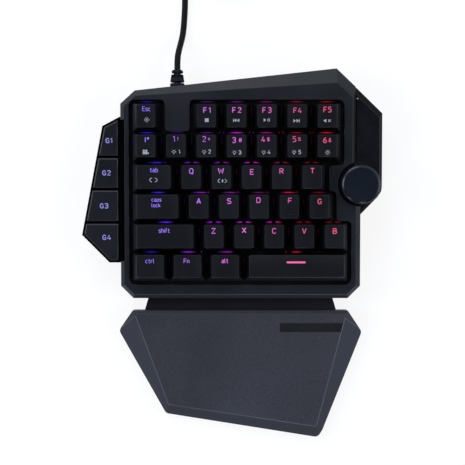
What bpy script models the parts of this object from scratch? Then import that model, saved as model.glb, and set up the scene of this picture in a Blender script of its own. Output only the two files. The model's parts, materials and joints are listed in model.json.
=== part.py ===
# One-handed gaming keypad with macro keys, a knob, a detachable wrist rest and a coiled cord.
# Metres, Z up. X runs to the right and Y to the rear; the origin is on the desk, under the middle.
# The deck is tilted about X: it rises towards the rear. A height is given there as a drop below
# the deck surface, and a name that ends in _v is a place measured along the tilted deck.

import math
import bpy
import bmesh
from mathutils import Vector

for old in list(bpy.data.objects):
    bpy.data.objects.remove(old, do_unlink=True)

# Deck slope and clearances
tilt = math.radians(3.5)
gap = 0.0003
overrun = 0.0040

# Key block
key_pitch = 0.01905
block_left_x = -0.06395
block_rear_v = 0.0962
cap_gap = 0.00095
cap_side_slope = 0.0027
cap_front_slope = 0.0029
cap_rear_slope = 0.0006
cap_corner = 0.0012
cap_wall = 0.0014
cap_roof = 0.0017
cap_height = 0.0088
cap_sink = 0.0015
cap_lift = 0.0060
row_front_shares = (0.97, 0.97, 0.93, 0.93, 0.98, 1.00)
row_rear_shares = (1.14, 1.14, 1.02, 0.95, 0.93, 0.93)
slider_width = 0.0070
slider_depth = 0.0056
slider_engaged = 0.0030
stem_width = 0.0040
short_stabiliser = 0.0119
long_stabiliser = key_pitch

# Key names with their place from the left and their width, both in key pitches, rear row first
key_rows = (
    (("esc", 0, 1), ("f1", 2, 1), ("f2", 3, 1), ("f3", 4, 1), ("f4", 5, 1), ("f5", 6, 1)),
    (("bar", 0, 1), ("1", 1, 1), ("2", 2, 1), ("3", 3, 1), ("4", 4, 1), ("5", 5, 1), ("6", 6, 1)),
    (("tab", 0, 1.5), ("q", 1.5, 1), ("w", 2.5, 1), ("e", 3.5, 1), ("r", 4.5, 1), ("t", 5.5, 1)),
    (("caps", 0, 1.75), ("a", 1.75, 1), ("s", 2.75, 1), ("d", 3.75, 1), ("f", 4.75, 1), ("g", 5.75, 1)),
    (("shift", 0, 2.25), ("z", 2.25, 1), ("x", 3.25, 1), ("c", 4.25, 1), ("v", 5.25, 1), ("b", 6.25, 1)),
    (("ctrl", 0, 1.25), ("fn", 1.25, 1.25), ("alt", 2.5, 1.25), ("space", 3.75, 3.5)),
)
stabiliser_offsets = {"shift": short_stabiliser, "space": long_stabiliser}

# Key opening in the deck
well_margin = 0.0017
step_margin = 0.0008
well_corner = 0.0034
step_corner = 0.0022
tab_left_margin = 0.0019
tab_right_margin = 0.0011
well_wall = 0.0015

# Switches, their plate and the circuit board
plate_thickness = 0.0015
plate_margin = 0.0008
plate_corner = 0.0060
housing_base = 0.0146
housing_top_width = 0.0110
housing_top_depth = 0.0108
housing_height = 0.0062
lower_housing = 0.0138
lower_housing_depth = 0.0050
stabiliser_base = 0.0072
stabiliser_top = 0.0064
board_thickness = 0.0016
board_margin = 0.0005
board_rear_border = 0.0028
board_rear_y = block_rear_v + board_rear_border
plate_drop = cap_sink + cap_lift
board_drop = plate_drop + lower_housing_depth + gap
board_clearance = 0.00236

# Case outline, which follows the key block: a border lies outside the block, an inset inside it
left_border = 0.00725
right_border = 0.0076375
front_border = 0.01035
rear_border = 0.0077
rear_rise = 0.0141
rear_left_inset = 0.0020
rear_right_inset = 0.0077625
left_chamfer_inset = 0.0008
wing_corner_inset = 0.0066
front_chamfer = 0.0079
block_unit_count = max(start + width for row in key_rows for name, start, width in row)
block_right_x = block_left_x + key_pitch * block_unit_count
block_front_v = block_rear_v - key_pitch * len(key_rows)
case_left_x = block_left_x - left_border
case_right_x = block_right_x + right_border
case_front_y = block_front_v - front_border
rear_left_x = block_left_x + rear_left_inset
rear_left_y = block_rear_v + rear_border
rear_right_x = block_right_x - rear_right_inset
rear_right_y = rear_left_y + rear_rise
left_chamfer_y = block_rear_v - left_chamfer_inset
wing_corner_y = block_rear_v - wing_corner_inset
case_wall = 0.0020
deck_thickness = 0.0022
seam_drop = 0.0072
foot_gap = 0.0015
floor_thickness = 0.0020
board_top_height = foot_gap + floor_thickness + board_clearance + board_thickness  # at the front side
deck_height = board_top_height + board_drop - case_front_y * math.tan(tilt)
bottom_chamfer = 0.0025
boss_radius = 0.0030
boss_segments = 12
boss_places = (
    (block_left_x + key_pitch / 2, case_front_y + front_chamfer),
    (0.0, case_front_y + front_chamfer),
    (case_right_x - key_pitch, case_front_y + front_chamfer),
    (block_left_x + key_pitch / 2, left_chamfer_y - key_pitch / 2),
    (rear_right_x - key_pitch, left_chamfer_y - key_pitch / 2),
)

# Bevels round the deck: width seen from above, and how far the outer edge lies below the deck
side_bevel = 0.0021
front_bevel = 0.0024
right_bevel = 0.0029
inner_bevel = 0.0018
diagonal_bevel = 0.0066
corner_bevel = 0.0028
rear_bevel_left = 0.0036
rear_bevel_right = 0.0095
edge_drop = 0.0013
rear_drop_left = 0.0020
rear_drop_right = 0.0040
trim_edge_drop = 0.0026

# Knob and the rotary encoder below it. The knob lies beside the last key of the fourth row.
recess_radius = 0.0139
knob_land = 0.0011625
knob_row_share = 2.72441
knob_neighbour = key_rows[3][-1]
knob_x = block_left_x + key_pitch * sum(knob_neighbour[1:]) + well_margin + knob_land + recess_radius
knob_y = block_rear_v - key_pitch * knob_row_share
knob_radius = 0.0123
knob_top = 0.0085
knob_rim = 0.0016
knob_wall = 0.0020
knob_roof = 0.0026
knob_gap = 0.0007
hub_radius = 0.0050
shaft_radius = 0.0030
bushing_radius = 0.0042
bushing_rise = 0.0036
encoder_width = 0.0124
encoder_height = 0.0048
nut_radius = 0.0058
nut_thickness = 0.0020
nut_sides = 6
knob_steps = 32
round_steps = 16

# Glossy trim of the right wing, with the round lobe that lies under the knob. It follows the knob.
wing_corner_reach = 0.0143
trim_reach = 0.0029
trim_bend_reach = 0.0116
trim_tip_back = 0.0191
trim_bend_back = 0.0079
trim_arc_back = 0.0007
wing_corner_x = knob_x + wing_corner_reach
trim_x = knob_x - trim_reach
trim_bend_x = knob_x + trim_bend_reach
trim_tip_y = knob_y - trim_tip_back
trim_bend_y = knob_y - trim_bend_back
trim_arc_y = knob_y - trim_arc_back
trim_drop = 0.0030
trim_thickness = 0.0018
trim_chamfer = 0.0018
trim_diagonal = 0.0034
trim_chamfer_drop = 0.0010
trim_arc_steps = 5
lobe_steps = 14

# Left wing: macro tray and macro keys. It reaches out from the case's left side.
wing_top_reach = 0.0116
wing_left_reach = 0.0249
wing_front_reach = 0.00745
wing_top_inset = 0.0148
wing_rear_inset = 0.0088
wing_front_rise = 0.02285
wing_left_rise = 0.0176
wing_top_x = case_left_x - wing_top_reach
wing_left_x = case_left_x - wing_left_reach
wing_front_x = case_left_x - wing_front_reach
wing_top_y = block_rear_v - wing_top_inset
wing_rear_y = block_rear_v - wing_rear_inset
wing_front_y = case_front_y + wing_front_rise
wing_left_y = wing_front_y + wing_left_rise
notch_depth = 0.0026
notch_front_rise = 0.0009
notch_rear_back = 0.0022
notch_front_y = wing_front_y + notch_front_rise
notch_rear_y = wing_rear_y - notch_rear_back
macro_reach = 0.0011
macro_right_x = case_left_x - macro_reach
tray_rim = 0.0009
tray_drop = 0.0024
tray_floor_drop = 0.0062
macro_clearance = 0.0004
macro_drop = 0.0015
macro_thickness = 0.0030
macro_bevel = 0.0008
macro_bevel_drop = 0.0005
macro_gap = 0.0015
macro_break_shares = (0.77471, 0.53793, 0.29425)
macro_breaks_y = [wing_front_y + (wing_top_y - wing_front_y) * share for share in macro_break_shares]
plunger_reach = 0.0074
plunger_x = case_left_x - plunger_reach
plunger_width = 0.0030
macro_switch_width = 0.0055
macro_switch_height = 0.0040
plunger_engaged = 0.0010

# Rubber feet
foot_length = 0.0180
foot_width = 0.0080
foot_corner = 0.0030
foot_pocket = 0.0008
foot_inset_x = 0.0230
foot_inset_front = 0.0130
foot_inset_rear = 0.0190
corner_steps = 3

# Wrist rest: its corners lie in or out from the case's sides, and back from its own rear side
rest_gap = 0.00815
rest_rear_left_inset = 0.0070
rest_rear_right_inset = 0.00745
rest_left_reach = 0.0026
rest_left_back = 0.0134
rest_right_reach = 0.0025
rest_right_back = 0.0142
rest_front_left_inset = 0.0281
rest_front_left_back = 0.0674
rest_tip_inset = 0.0262
rest_tip_back = 0.0830
rest_tip_side_inset = 0.0232
rest_tip_side_back = 0.0784
rest_rear_y = case_front_y - rest_gap
rest_rear_left_x = case_left_x + rest_rear_left_inset
rest_rear_right_x = case_right_x - rest_rear_right_inset
rest_left_x = case_left_x - rest_left_reach
rest_left_y = rest_rear_y - rest_left_back
rest_right_x = case_right_x + rest_right_reach
rest_right_y = rest_rear_y - rest_right_back
rest_front_left_x = case_left_x + rest_front_left_inset
rest_front_left_y = rest_rear_y - rest_front_left_back
rest_tip_x = case_right_x - rest_tip_inset
rest_tip_y = rest_rear_y - rest_tip_back
rest_tip_side_x = case_right_x - rest_tip_side_inset
rest_tip_side_y = rest_rear_y - rest_tip_side_back
rest_corner = 0.0035
rest_rear_corner = 0.0012
crease_corner = 0.0010
rest_edge_height = 0.0062
rest_rear_height = 0.0165
rest_front_height = 0.0112
rest_lip = 0.0012
rest_wall = 0.0020
crease_rear_back = 0.0022
crease_rear_left_inset = 0.0090
crease_rear_right_inset = 0.0088
crease_left_inset = 0.0090
crease_left_back = 0.0034
crease_right_inset = 0.0093
crease_right_back = 0.0050
crease_front_left_inset = 0.0299
crease_front_left_back = 0.0609
crease_front_right_inset = 0.0283
crease_front_right_back = 0.0752
crease_rear_y = rest_rear_y - crease_rear_back
crease_rear_left_x = case_left_x + crease_rear_left_inset
crease_rear_right_x = case_right_x - crease_rear_right_inset
crease_left_x = case_left_x + crease_left_inset
crease_left_y = rest_rear_y - crease_left_back
crease_right_x = case_right_x - crease_right_inset
crease_right_y = rest_rear_y - crease_right_back
crease_front_left_x = case_left_x + crease_front_left_inset
crease_front_left_y = rest_rear_y - crease_front_left_back
crease_front_right_x = case_right_x - crease_front_right_inset
crease_front_right_y = rest_rear_y - crease_front_right_back
base_thickness = 0.0018
tongue_inset = 0.0167
tongue_left_x = case_left_x + tongue_inset
tongue_right_x = case_right_x - tongue_inset
tongue_flare = 0.0023
tongue_height = 0.0070
tongue_root = 0.0060
hook_x = 0.0300
hook_width = 0.0100
hook_length = 0.0060
hook_thickness = 0.0016
hook_height = 0.0038
rest_foot_length = 0.0600
rest_foot_inset = 0.0456
rest_foot_back = 0.0484
rest_foot_x = rest_tip_x - rest_foot_inset
rest_foot_y = rest_rear_y - rest_foot_back

# Strain relief and cord
cord_diameter = 0.0040
relief_inset = 0.02645
relief_x = rear_left_x + relief_inset
relief_height = 0.0115
relief_seat = 0.0009
wall_neck_radius = 0.0029
relief_ribs = (  # radius and length of each rib and neck, from the case outwards
    (0.00460, 0.0021),
    (0.00280, 0.0009),
    (0.00430, 0.0049),
    (0.00280, 0.0008),
    (0.00365, 0.0024),
)
relief_flange_radius = 0.0044
relief_flange_length = 0.0015
relief_flange_seat = 0.0010
cord_points = (  # the free stretch's route after the exit, chosen by hand
    (-0.0352, 0.1285, 0.0100),
    (-0.0342, 0.1340, 0.0066),
    (-0.0331, 0.1390, 0.0037),
    (-0.0322, 0.1440, 0.0022),
    (-0.0316, 0.1500, 0.0020),
    (-0.0310, 0.1600, 0.0020),
    (-0.0309, 0.1720, 0.0020),
    (-0.0312, 0.1850, 0.0020),
)
cord_end_y = 0.2010
cord_end_x = -0.0314
coil_radius = 0.0280
coil_pitch = 0.0045
coil_turns_per_layer = 2.75
coil_layer_count = 4
points_per_turn = 24
points_per_span = 12
cord_side_steps = 2
coil_side_steps = 1
lift_turn_share = 0.22
tail_radius = 0.0140
tail_steps = 8
plug_width = 0.0158
plug_thickness = 0.0082
plug_length = 0.0240
shell_width = 0.0120
shell_thickness = 0.0045
shell_length = 0.0185
plug_corner = 0.0016
plug_corner_steps = 2

keypad = bpy.data.collections.new("gaming_keypad")
tools = bpy.data.collections.new("cutters_and_joined_shapes")
bpy.context.scene.collection.children.link(keypad)
bpy.context.scene.collection.children.link(tools)


# Materials


def material(name, colour, roughness, metallic=0.0):
    made = bpy.data.materials.new(name)
    made.use_nodes = True
    shader = made.node_tree.nodes["Principled BSDF"]
    shader.inputs["Base Color"].default_value = (*colour, 1.0)
    shader.inputs["Roughness"].default_value = roughness
    shader.inputs["Metallic"].default_value = metallic
    return made


cap_plastic = material("keycap_plastic", (0.012, 0.013, 0.017), 0.5)
case_plastic = material("case_plastic", (0.016, 0.019, 0.024), 0.45)
black_plastic = material("black_plastic", (0.006, 0.007, 0.009), 0.5)
gloss_plastic = material("gloss_plastic", (0.005, 0.006, 0.010), 0.15)
knob_plastic = material("knob_plastic", (0.010, 0.013, 0.020), 0.3)
rest_plastic = material("rest_plastic", (0.036, 0.040, 0.050), 0.55)
board_laminate = material("board_laminate", (0.010, 0.045, 0.020), 0.4)
steel = material("steel", (0.55, 0.55, 0.56), 0.3, 1.0)
rubber = material("rubber", (0.012, 0.012, 0.013), 0.8)


# Frames: the whole of the deck's inner works hangs on one tilted empty

deck_frame = bpy.data.objects.new("deck_frame", None)
deck_frame.location = (0, 0, deck_height)
deck_frame.rotation_euler = (tilt, 0, 0)
keypad.objects.link(deck_frame)


def deck_z(y, drop):
    """Height above the desk at a depth below the deck surface."""
    return deck_height + y * math.tan(tilt) - drop


# Shapes


def place(name, data, made_of=None, parent=None, location=(0, 0, 0), rotation=(0, 0, 0)):
    """Puts a mesh or a curve in the keypad, or among the tools where it has no material."""
    item = bpy.data.objects.new(name, data)
    item.location = location
    item.rotation_euler = rotation
    item.parent = parent
    if made_of:
        data.materials.append(made_of)
        keypad.objects.link(item)
    else:
        item.hide_render = True
        item.display_type = "WIRE"
        tools.objects.link(item)
    return item


def finish(name, shape):
    """Turns a bmesh into a mesh, shaded smooth but for its sharp edges."""
    bmesh.ops.recalc_face_normals(shape, faces=shape.faces[:])
    data = bpy.data.meshes.new(name)
    shape.to_mesh(data)
    shape.free()
    data.shade_smooth()
    data.set_sharp_from_angle(angle=math.radians(30))
    return data


def add_loft(shape, rings):
    """Skins closed rings of as many points each, and caps the first and the last."""
    layers = [[shape.verts.new(point) for point in ring] for ring in rings]
    for lower, upper in zip(layers, layers[1:]):
        for i in range(len(lower)):
            j = (i + 1) % len(lower)
            shape.faces.new((lower[i], lower[j], upper[j], upper[i]))
    shape.faces.new(reversed(layers[0]))
    shape.faces.new(layers[-1])


def loft(name, rings):
    shape = bmesh.new()
    add_loft(shape, rings)
    return finish(name, shape)


def box(name, low, high):
    shape = bmesh.new()
    made = bmesh.ops.create_cube(shape, size=1)
    for vert in made["verts"]:
        for axis in range(3):
            vert.co[axis] = high[axis] if vert.co[axis] > 0 else low[axis]
    return finish(name, shape)


def cylinder(name, radius, low, high, segments=round_steps):
    shape = bmesh.new()
    made = bmesh.ops.create_cone(
        shape, cap_ends=True, segments=segments, radius1=radius, radius2=radius, depth=high - low
    )
    bmesh.ops.translate(shape, verts=made["verts"], vec=(0, 0, (high + low) / 2))
    return finish(name, shape)


def turned(name, profile, steps, made_of, parent=None, location=(0, 0, 0), rotation=(0, 0, 0)):
    """A profile of radius and height turned about Z, outer side first from top to bottom."""
    data = bpy.data.meshes.new(name)
    edges = [(i, i + 1) for i in range(len(profile) - 1)]
    data.from_pydata([(radius, 0, height) for radius, height in profile], edges, [])
    item = place(name, data, made_of, parent, location, rotation)
    screw = item.modifiers.new("Turn", "SCREW")
    screw.steps = steps
    screw.render_steps = steps
    screw.use_merge_vertices = True
    screw.merge_threshold = 0.00001
    return item


def flat(name, outline, low, high):
    """A flat plate of constant thickness, from a filled 2D curve."""
    curve = bpy.data.curves.new(name, "CURVE")
    curve.dimensions = "2D"
    curve.fill_mode = "BOTH"
    curve.extrude = (high - low) / 2
    spline = curve.splines.new("POLY")
    spline.points.add(len(outline) - 1)
    for point, (x, y) in zip(spline.points, outline):
        point.co = (x, y, 0, 1)
    spline.use_cyclic_u = True
    return solid_from_curve(name, curve, (0, 0, (high + low) / 2))


def solid_from_curve(name, curve, shift):
    """The curve's evaluated surface as a closed mesh, moved by a shift."""
    item = bpy.data.objects.new(name, curve)
    bpy.context.scene.collection.objects.link(item)
    graph = bpy.context.evaluated_depsgraph_get()
    data = bpy.data.meshes.new_from_object(item.evaluated_get(graph))
    bpy.data.objects.remove(item, do_unlink=True)
    shape = bmesh.new()
    shape.from_mesh(data)
    bmesh.ops.remove_doubles(shape, verts=shape.verts[:], dist=0.00001)
    bmesh.ops.translate(shape, verts=shape.verts[:], vec=shift)
    bpy.data.meshes.remove(data)
    return finish(name, shape)


def boolean(target, tool, operation="DIFFERENCE"):
    step = target.modifiers.new(tool.name, "BOOLEAN")
    step.operation = operation
    step.solver = "EXACT"
    step.object = tool


def cut(target, name, data, parent=None, location=(0, 0, 0), rotation=(0, 0, 0)):
    boolean(target, place(name, data, None, parent, location, rotation))


def join(target, name, data, parent=None, location=(0, 0, 0), rotation=(0, 0, 0)):
    boolean(target, place(name, data, None, parent, location, rotation), "UNION")


# Outlines: lists of (x, y), anticlockwise seen from above


def cross(first, second):
    return first[0] * second[1] - first[1] * second[0]


def inset(outline, widths):
    """Moves every side inwards by one width, or by a width at its start and one at its end."""
    count = len(outline)
    pairs = widths if isinstance(widths, (list, tuple)) else [(widths, widths)] * count
    lines = []
    for i in range(count):
        start, end = Vector(outline[i]), Vector(outline[(i + 1) % count])
        along = (end - start).normalized()
        inward = Vector((-along.y, along.x))
        lines.append((start + inward * pairs[i][0], end + inward * pairs[i][1]))
    moved = []
    for i in range(count):
        (a, b), (c, d) = lines[i - 1], lines[i]
        first, second = b - a, d - c
        share = cross(c - a, second) / cross(first, second)
        moved.append(tuple(a + first * share))
    return moved


def cut_corners(outline, numbers, size):
    """Replaces the numbered corners by a straight cut whose ends lie a size back from them."""
    made = []
    for i, here in enumerate(outline):
        if i not in numbers:
            made.append(here)
            continue
        corner = Vector(here)
        for beside in (outline[i - 1], outline[(i + 1) % len(outline)]):
            made.append(tuple(corner + (Vector(beside) - corner).normalized() * size))
    return made


def rounded(outline, radii, steps=corner_steps):
    """Replaces each corner by an arc of one radius, or of a radius given for each corner."""
    count, made = len(outline), []
    for i in range(count):
        radius = radii[i] if isinstance(radii, (list, tuple)) else radii
        here = Vector(outline[i])
        back = (Vector(outline[i - 1]) - here).normalized()
        ahead = (Vector(outline[(i + 1) % count]) - here).normalized()
        half = back.angle(ahead) / 2
        centre = here + (back + ahead).normalized() * radius / math.sin(half)
        start = here + back * radius / math.tan(half) - centre
        end = here + ahead * radius / math.tan(half) - centre
        turn = math.atan2(cross(start, end), start.dot(end))
        for step in range(steps + 1):
            angle = turn * step / steps
            spun = Vector(
                (
                    start.x * math.cos(angle) - start.y * math.sin(angle),
                    start.x * math.sin(angle) + start.y * math.cos(angle),
                )
            )
            made.append(tuple(centre + spun))
    return made


def arc(centre, radius, start, end, steps):
    angles = [start + (end - start) * step / steps for step in range(steps + 1)]
    return [(centre[0] + radius * math.cos(a), centre[1] + radius * math.sin(a)) for a in angles]


def clipped(outline, keep):
    """The part of an outline on the side of a level line where keep(y) isn't negative."""
    made = []
    for i, here in enumerate(outline):
        before = outline[i - 1]
        if keep(here[1]) * keep(before[1]) < 0:
            share = keep(before[1]) / (keep(before[1]) - keep(here[1]))
            made.append(tuple(Vector(before).lerp(Vector(here), share)))
        if keep(here[1]) >= 0:
            made.append(here)
    return made


def band(outline, front, rear):
    return clipped(clipped(outline, lambda y: y - front), lambda y: rear - y)


def rectangle(centre_x, centre_y, width, depth):
    left, right = centre_x - width / 2, centre_x + width / 2
    front, rear = centre_y - depth / 2, centre_y + depth / 2
    return [(left, front), (right, front), (right, rear), (left, rear)]


def ring_at(outline, drop):
    """An outline laid at a depth below the tilted deck; drop may differ from point to point."""
    drops = drop if isinstance(drop, (list, tuple)) else [drop] * len(outline)
    return [(x, y, deck_z(y, d)) for (x, y), d in zip(outline, drops)]


def ring_flat(outline, height):
    return [(x, y, height) for x, y in outline]


def slab(name, outline, upper, lower):
    """A plate that follows the tilted deck between two depths below it."""
    return loft(name, [ring_at(outline, lower), ring_at(outline, upper)])


# Places of the keys


def column(units):
    return block_left_x + units * key_pitch


def row_rear(row):
    return block_rear_v - row * key_pitch


def key_places():
    """Name, row, width in pitches, and the centre on the deck of each key."""
    for row, keys in enumerate(key_rows):
        for name, start, width in keys:
            yield name, row, width, column(start + width / 2), row_rear(row) - key_pitch / 2


def keycap_ring(width, depth, shift, corner, front_height, rear_height):
    """Eight points of a rectangle with cut corners, whose height changes from front to rear."""
    half_width, half_depth = width / 2, depth / 2
    points = []
    for x_side, y_side in ((1, -1), (1, 1), (-1, 1), (-1, -1)):
        near_x = (x_side * (half_width - corner), y_side * half_depth)
        near_y = (x_side * half_width, y_side * (half_depth - corner))
        points += [near_x, near_y] if x_side * y_side < 0 else [near_y, near_x]
    lean = (rear_height - front_height) / depth
    middle = (rear_height + front_height) / 2
    return [(x, y + shift, middle + y * lean) for x, y in points]


def build_keycap(name, row, units, x, v):
    width = units * key_pitch - cap_gap
    depth = key_pitch - cap_gap
    top_width = width - 2 * cap_side_slope
    top_depth = depth - cap_front_slope - cap_rear_slope
    top_shift = (cap_front_slope - cap_rear_slope) / 2
    front_height = cap_height * row_front_shares[row]
    rear_height = cap_height * row_rear_shares[row]
    roof_share = 1 - cap_roof / cap_height
    slider_end = housing_height - cap_lift - slider_engaged
    roof_corner = cap_corner - cap_wall / 2
    ceiling = (
        width - 2 * cap_side_slope * roof_share - 2 * cap_wall,
        depth - (cap_front_slope + cap_rear_slope) * roof_share - 2 * cap_wall,
        top_shift * roof_share,
        roof_corner,
        front_height - cap_roof,
        rear_height - cap_roof,
    )
    root = (slider_width, slider_depth, 0, roof_corner)
    slope = (rear_height - front_height) * slider_depth / depth / 2
    middle = (rear_height + front_height) / 2 - cap_roof
    rings = [
        keycap_ring(top_width, top_depth, top_shift, cap_corner, front_height, rear_height),
        keycap_ring(width, depth, 0, cap_corner / 2, 0, 0),
        keycap_ring(width - 2 * cap_wall, depth - 2 * cap_wall, 0, roof_corner / 2, 0, 0),
        keycap_ring(*ceiling),
        keycap_ring(*root, middle - slope, middle + slope),
        keycap_ring(*root, slider_end, slider_end),
    ]
    item = place(f"key_{name}", loft(f"key_{name}", rings), cap_plastic, deck_frame, (x, v, -cap_sink))
    for side in (-1, 1):
        if name in stabiliser_offsets:
            offset = side * stabiliser_offsets[name]
            low = (offset - stem_width / 2, -stem_width / 2, slider_end)
            high = (offset + stem_width / 2, stem_width / 2, middle + cap_roof / 2)
            tool = f"key_{name}_stem_{side + 1}"
            join(item, tool, box(tool, low, high), deck_frame, item.location)


def housing_spots():
    """Centre, sizes and bore of each switch housing and stabiliser housing on the plate."""
    for name, row, units, x, v in key_places():
        switch = (housing_base, housing_top_width, housing_top_depth, lower_housing)
        yield x, v, switch, (slider_width, slider_depth)
        if name in stabiliser_offsets:
            for side in (-1, 1):
                small = (stabiliser_base, stabiliser_top, stabiliser_top, stabiliser_top)
                yield x + side * stabiliser_offsets[name], v, small, (stem_width, stem_width)


def well_outline():
    """The stepped opening round the key block, and the radius of each of its corners."""
    left = column(0) - well_margin
    rear = row_rear(0) + well_margin
    front = row_rear(len(key_rows)) - well_margin
    ends = [column(keys[-1][1] + keys[-1][2]) + well_margin for keys in key_rows]
    tab_left = column(1) + tab_left_margin
    tab_right = column(2) - tab_right_margin
    tab_front = row_rear(1) + step_margin
    corners = [
        (left, front, well_corner),
        (ends[4], front, well_corner),
        (ends[4], row_rear(4) + step_margin, step_corner),
        (ends[3], row_rear(4) + step_margin, step_corner),
        (ends[3], row_rear(3) + step_margin, step_corner),
        (ends[2], row_rear(3) + step_margin, step_corner),
        (ends[2], row_rear(2) - well_margin, step_corner),
        (ends[1], row_rear(2) - well_margin, step_corner),
        (ends[1], rear, well_corner),
        (tab_right, rear, step_corner),
        (tab_right, tab_front, step_corner),
        (tab_left, tab_front, step_corner),
        (tab_left, rear, step_corner),
        (left, rear, well_corner),
    ]
    return [(x, v * math.cos(tilt)) for x, v, radius in corners], [radius for x, v, radius in corners]


# Outlines of the case

knob_centre = (knob_x, knob_y)


def diagonal_y(x):
    """Where the wing's slanted rear side lies at a given x."""
    slope = (rear_right_y - wing_corner_y) / (wing_corner_x - rear_right_x)
    return wing_corner_y + (wing_corner_x - x) * slope


deck_edge = [  # x, y, bevel width at the start and the end of the side that starts here, edge drop
    (case_left_x + front_chamfer, case_front_y, front_bevel, front_bevel, edge_drop),
    (case_right_x - front_chamfer, case_front_y, front_bevel, front_bevel, edge_drop),
    (case_right_x, case_front_y + front_chamfer, right_bevel, right_bevel, edge_drop),
    (case_right_x, knob_y, inner_bevel, inner_bevel, edge_drop),
    (trim_x, knob_y, inner_bevel, inner_bevel, trim_edge_drop),
    (trim_x, diagonal_y(trim_x), diagonal_bevel, diagonal_bevel, trim_edge_drop),
    (rear_right_x, rear_right_y, rear_bevel_right, rear_bevel_left, rear_drop_right),
    (rear_left_x, rear_left_y, corner_bevel, corner_bevel, rear_drop_left),
    (case_left_x, left_chamfer_y, side_bevel, side_bevel, edge_drop),
    (case_left_x, case_front_y + front_chamfer, front_bevel, front_bevel, edge_drop),
]
case_outline = [(point[0], point[1]) for point in deck_edge]

right_wing = [
    (case_right_x + gap, trim_tip_y),
    (trim_bend_x, trim_bend_y),
    *arc(
        (knob_x, trim_arc_y),
        wing_corner_x - knob_x,
        math.atan2(trim_bend_y - trim_arc_y, trim_bend_x - knob_x) / 2,
        0,
        trim_arc_steps,
    ),
    (wing_corner_x, wing_corner_y),
]
left_wing = [
    (case_left_x - gap, wing_rear_y),
    (wing_top_x, wing_top_y),
    (wing_left_x, wing_left_y),
    (wing_front_x, wing_front_y),
    (case_left_x - gap, wing_front_y),
]
whole_outline = [
    *case_outline[:3],
    (case_right_x, trim_tip_y - gap),
    *right_wing,
    *case_outline[6:9],
    (case_left_x, wing_rear_y + gap),
    *left_wing[1:4],
    (case_left_x, wing_front_y),
    case_outline[9],
]


# Case


def build_top_case():
    outer = ring_at(case_outline, seam_drop)
    edge = ring_at(case_outline, [point[4] for point in deck_edge])
    inner = ring_at(inset(case_outline, [(point[2], point[3]) for point in deck_edge]), 0)
    item = place("top_case", loft("top_case", [outer, edge, inner]), case_plastic)

    # The space inside, which leaves a wall round the key opening and one along the notch
    well, radii = well_outline()
    side = case_wall + notch_depth
    hollow = inset(case_outline, [(case_wall, case_wall)] * 8 + [(side, side), (case_wall, case_wall)])
    ceiling = deck_thickness + rear_drop_left
    space = place("top_case_space", slab("top_case_space", hollow, ceiling, seam_drop + overrun))
    walled = slab("well_block", inset(well, -well_wall), -overrun, seam_drop + 2 * overrun)
    cut(space, "well_block", walled)
    boolean(item, space)
    opening = rounded(well, radii)
    cut(item, "key_opening", slab("key_opening", opening, -overrun, seam_drop + overrun))
    notch = [
        (case_left_x - overrun, notch_front_y),
        (case_left_x + notch_depth, notch_front_y),
        (case_left_x + notch_depth, notch_rear_y),
        (case_left_x - overrun, notch_rear_y),
    ]
    cut(item, "wing_notch", slab("wing_notch", notch, -overrun, seam_drop + overrun))
    recess = cylinder("knob_recess", recess_radius, -seam_drop - overrun, overrun, 2 * knob_steps)
    cut(item, "knob_recess", recess, None, (knob_x, knob_y, deck_height))


def foot_places():
    left, right = case_left_x + foot_inset_x, case_right_x - foot_inset_x
    front, rear = case_front_y + foot_inset_front, left_chamfer_y - foot_inset_rear
    return {
        "foot_front_left": (left, front),
        "foot_front_right": (right, front),
        "foot_rear_left": (left, rear),
        "foot_rear_right": (right, rear),
    }


def foot_outline(x, y, length, spare=0.0):
    return rounded(rectangle(x, y, length + 2 * spare, foot_width + 2 * spare), foot_corner)


def build_feet():
    top = foot_gap + foot_pocket - gap
    for name, (x, y) in foot_places().items():
        place(name, flat(name, foot_outline(x, y, foot_length), 0, top), rubber)
    outline = foot_outline(rest_foot_x, rest_foot_y, rest_foot_length)
    place("wrist_rest_foot", flat("wrist_rest_foot", outline, 0, top), rubber)


def relief_wall_y():
    """Where the rear wall's outer face stands behind the strain relief."""
    share = (relief_x - rear_left_x) / (rear_right_x - rear_left_x)
    return rear_left_y + (rear_right_y - rear_left_y) * share


def build_bottom_case():
    top_drop = seam_drop + gap
    rings = [
        ring_flat(inset(whole_outline, bottom_chamfer), foot_gap),
        ring_flat(whole_outline, foot_gap + bottom_chamfer),
        ring_at(whole_outline, top_drop),
    ]
    item = place("bottom_case", loft("bottom_case", rings), case_plastic)
    inside = inset(whole_outline, case_wall)
    floor = foot_gap + floor_thickness
    space = loft("tub_space", [ring_flat(inside, floor), ring_at(inside, top_drop - overrun)])
    cut(item, "tub_space", space)
    for number, (x, y) in enumerate(boss_places):
        height = deck_z(y, board_drop + board_thickness + gap) - foot_gap - floor_thickness / 2
        low = -(board_drop + board_thickness + gap) - height
        data = cylinder(f"boss_{number}", boss_radius, low, low + height, boss_segments)
        join(item, f"boss_{number}", data, deck_frame, (x, y / math.cos(tilt), 0))
    for name, (x, y) in foot_places().items():
        outline = foot_outline(x, y, foot_length, gap)
        cut(item, f"{name}_pocket", flat(f"{name}_pocket", outline, -overrun, foot_gap + foot_pocket))
    half, hook_top = hook_width / 2 + gap, hook_height + hook_thickness
    for side in (-1, 1):
        low = (side * hook_x - half, case_front_y - overrun, hook_height - gap)
        high = (side * hook_x + half, case_front_y + overrun, hook_top + gap)
        cut(item, f"hook_slot_{side + 1}", box("hook_slot", low, high))
    hole = cylinder("cord_hole", wall_neck_radius + gap, -overrun, overrun)
    cut(item, "cord_hole", hole, None, (relief_x, relief_wall_y(), relief_height), (math.radians(90), 0, 0))


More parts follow.
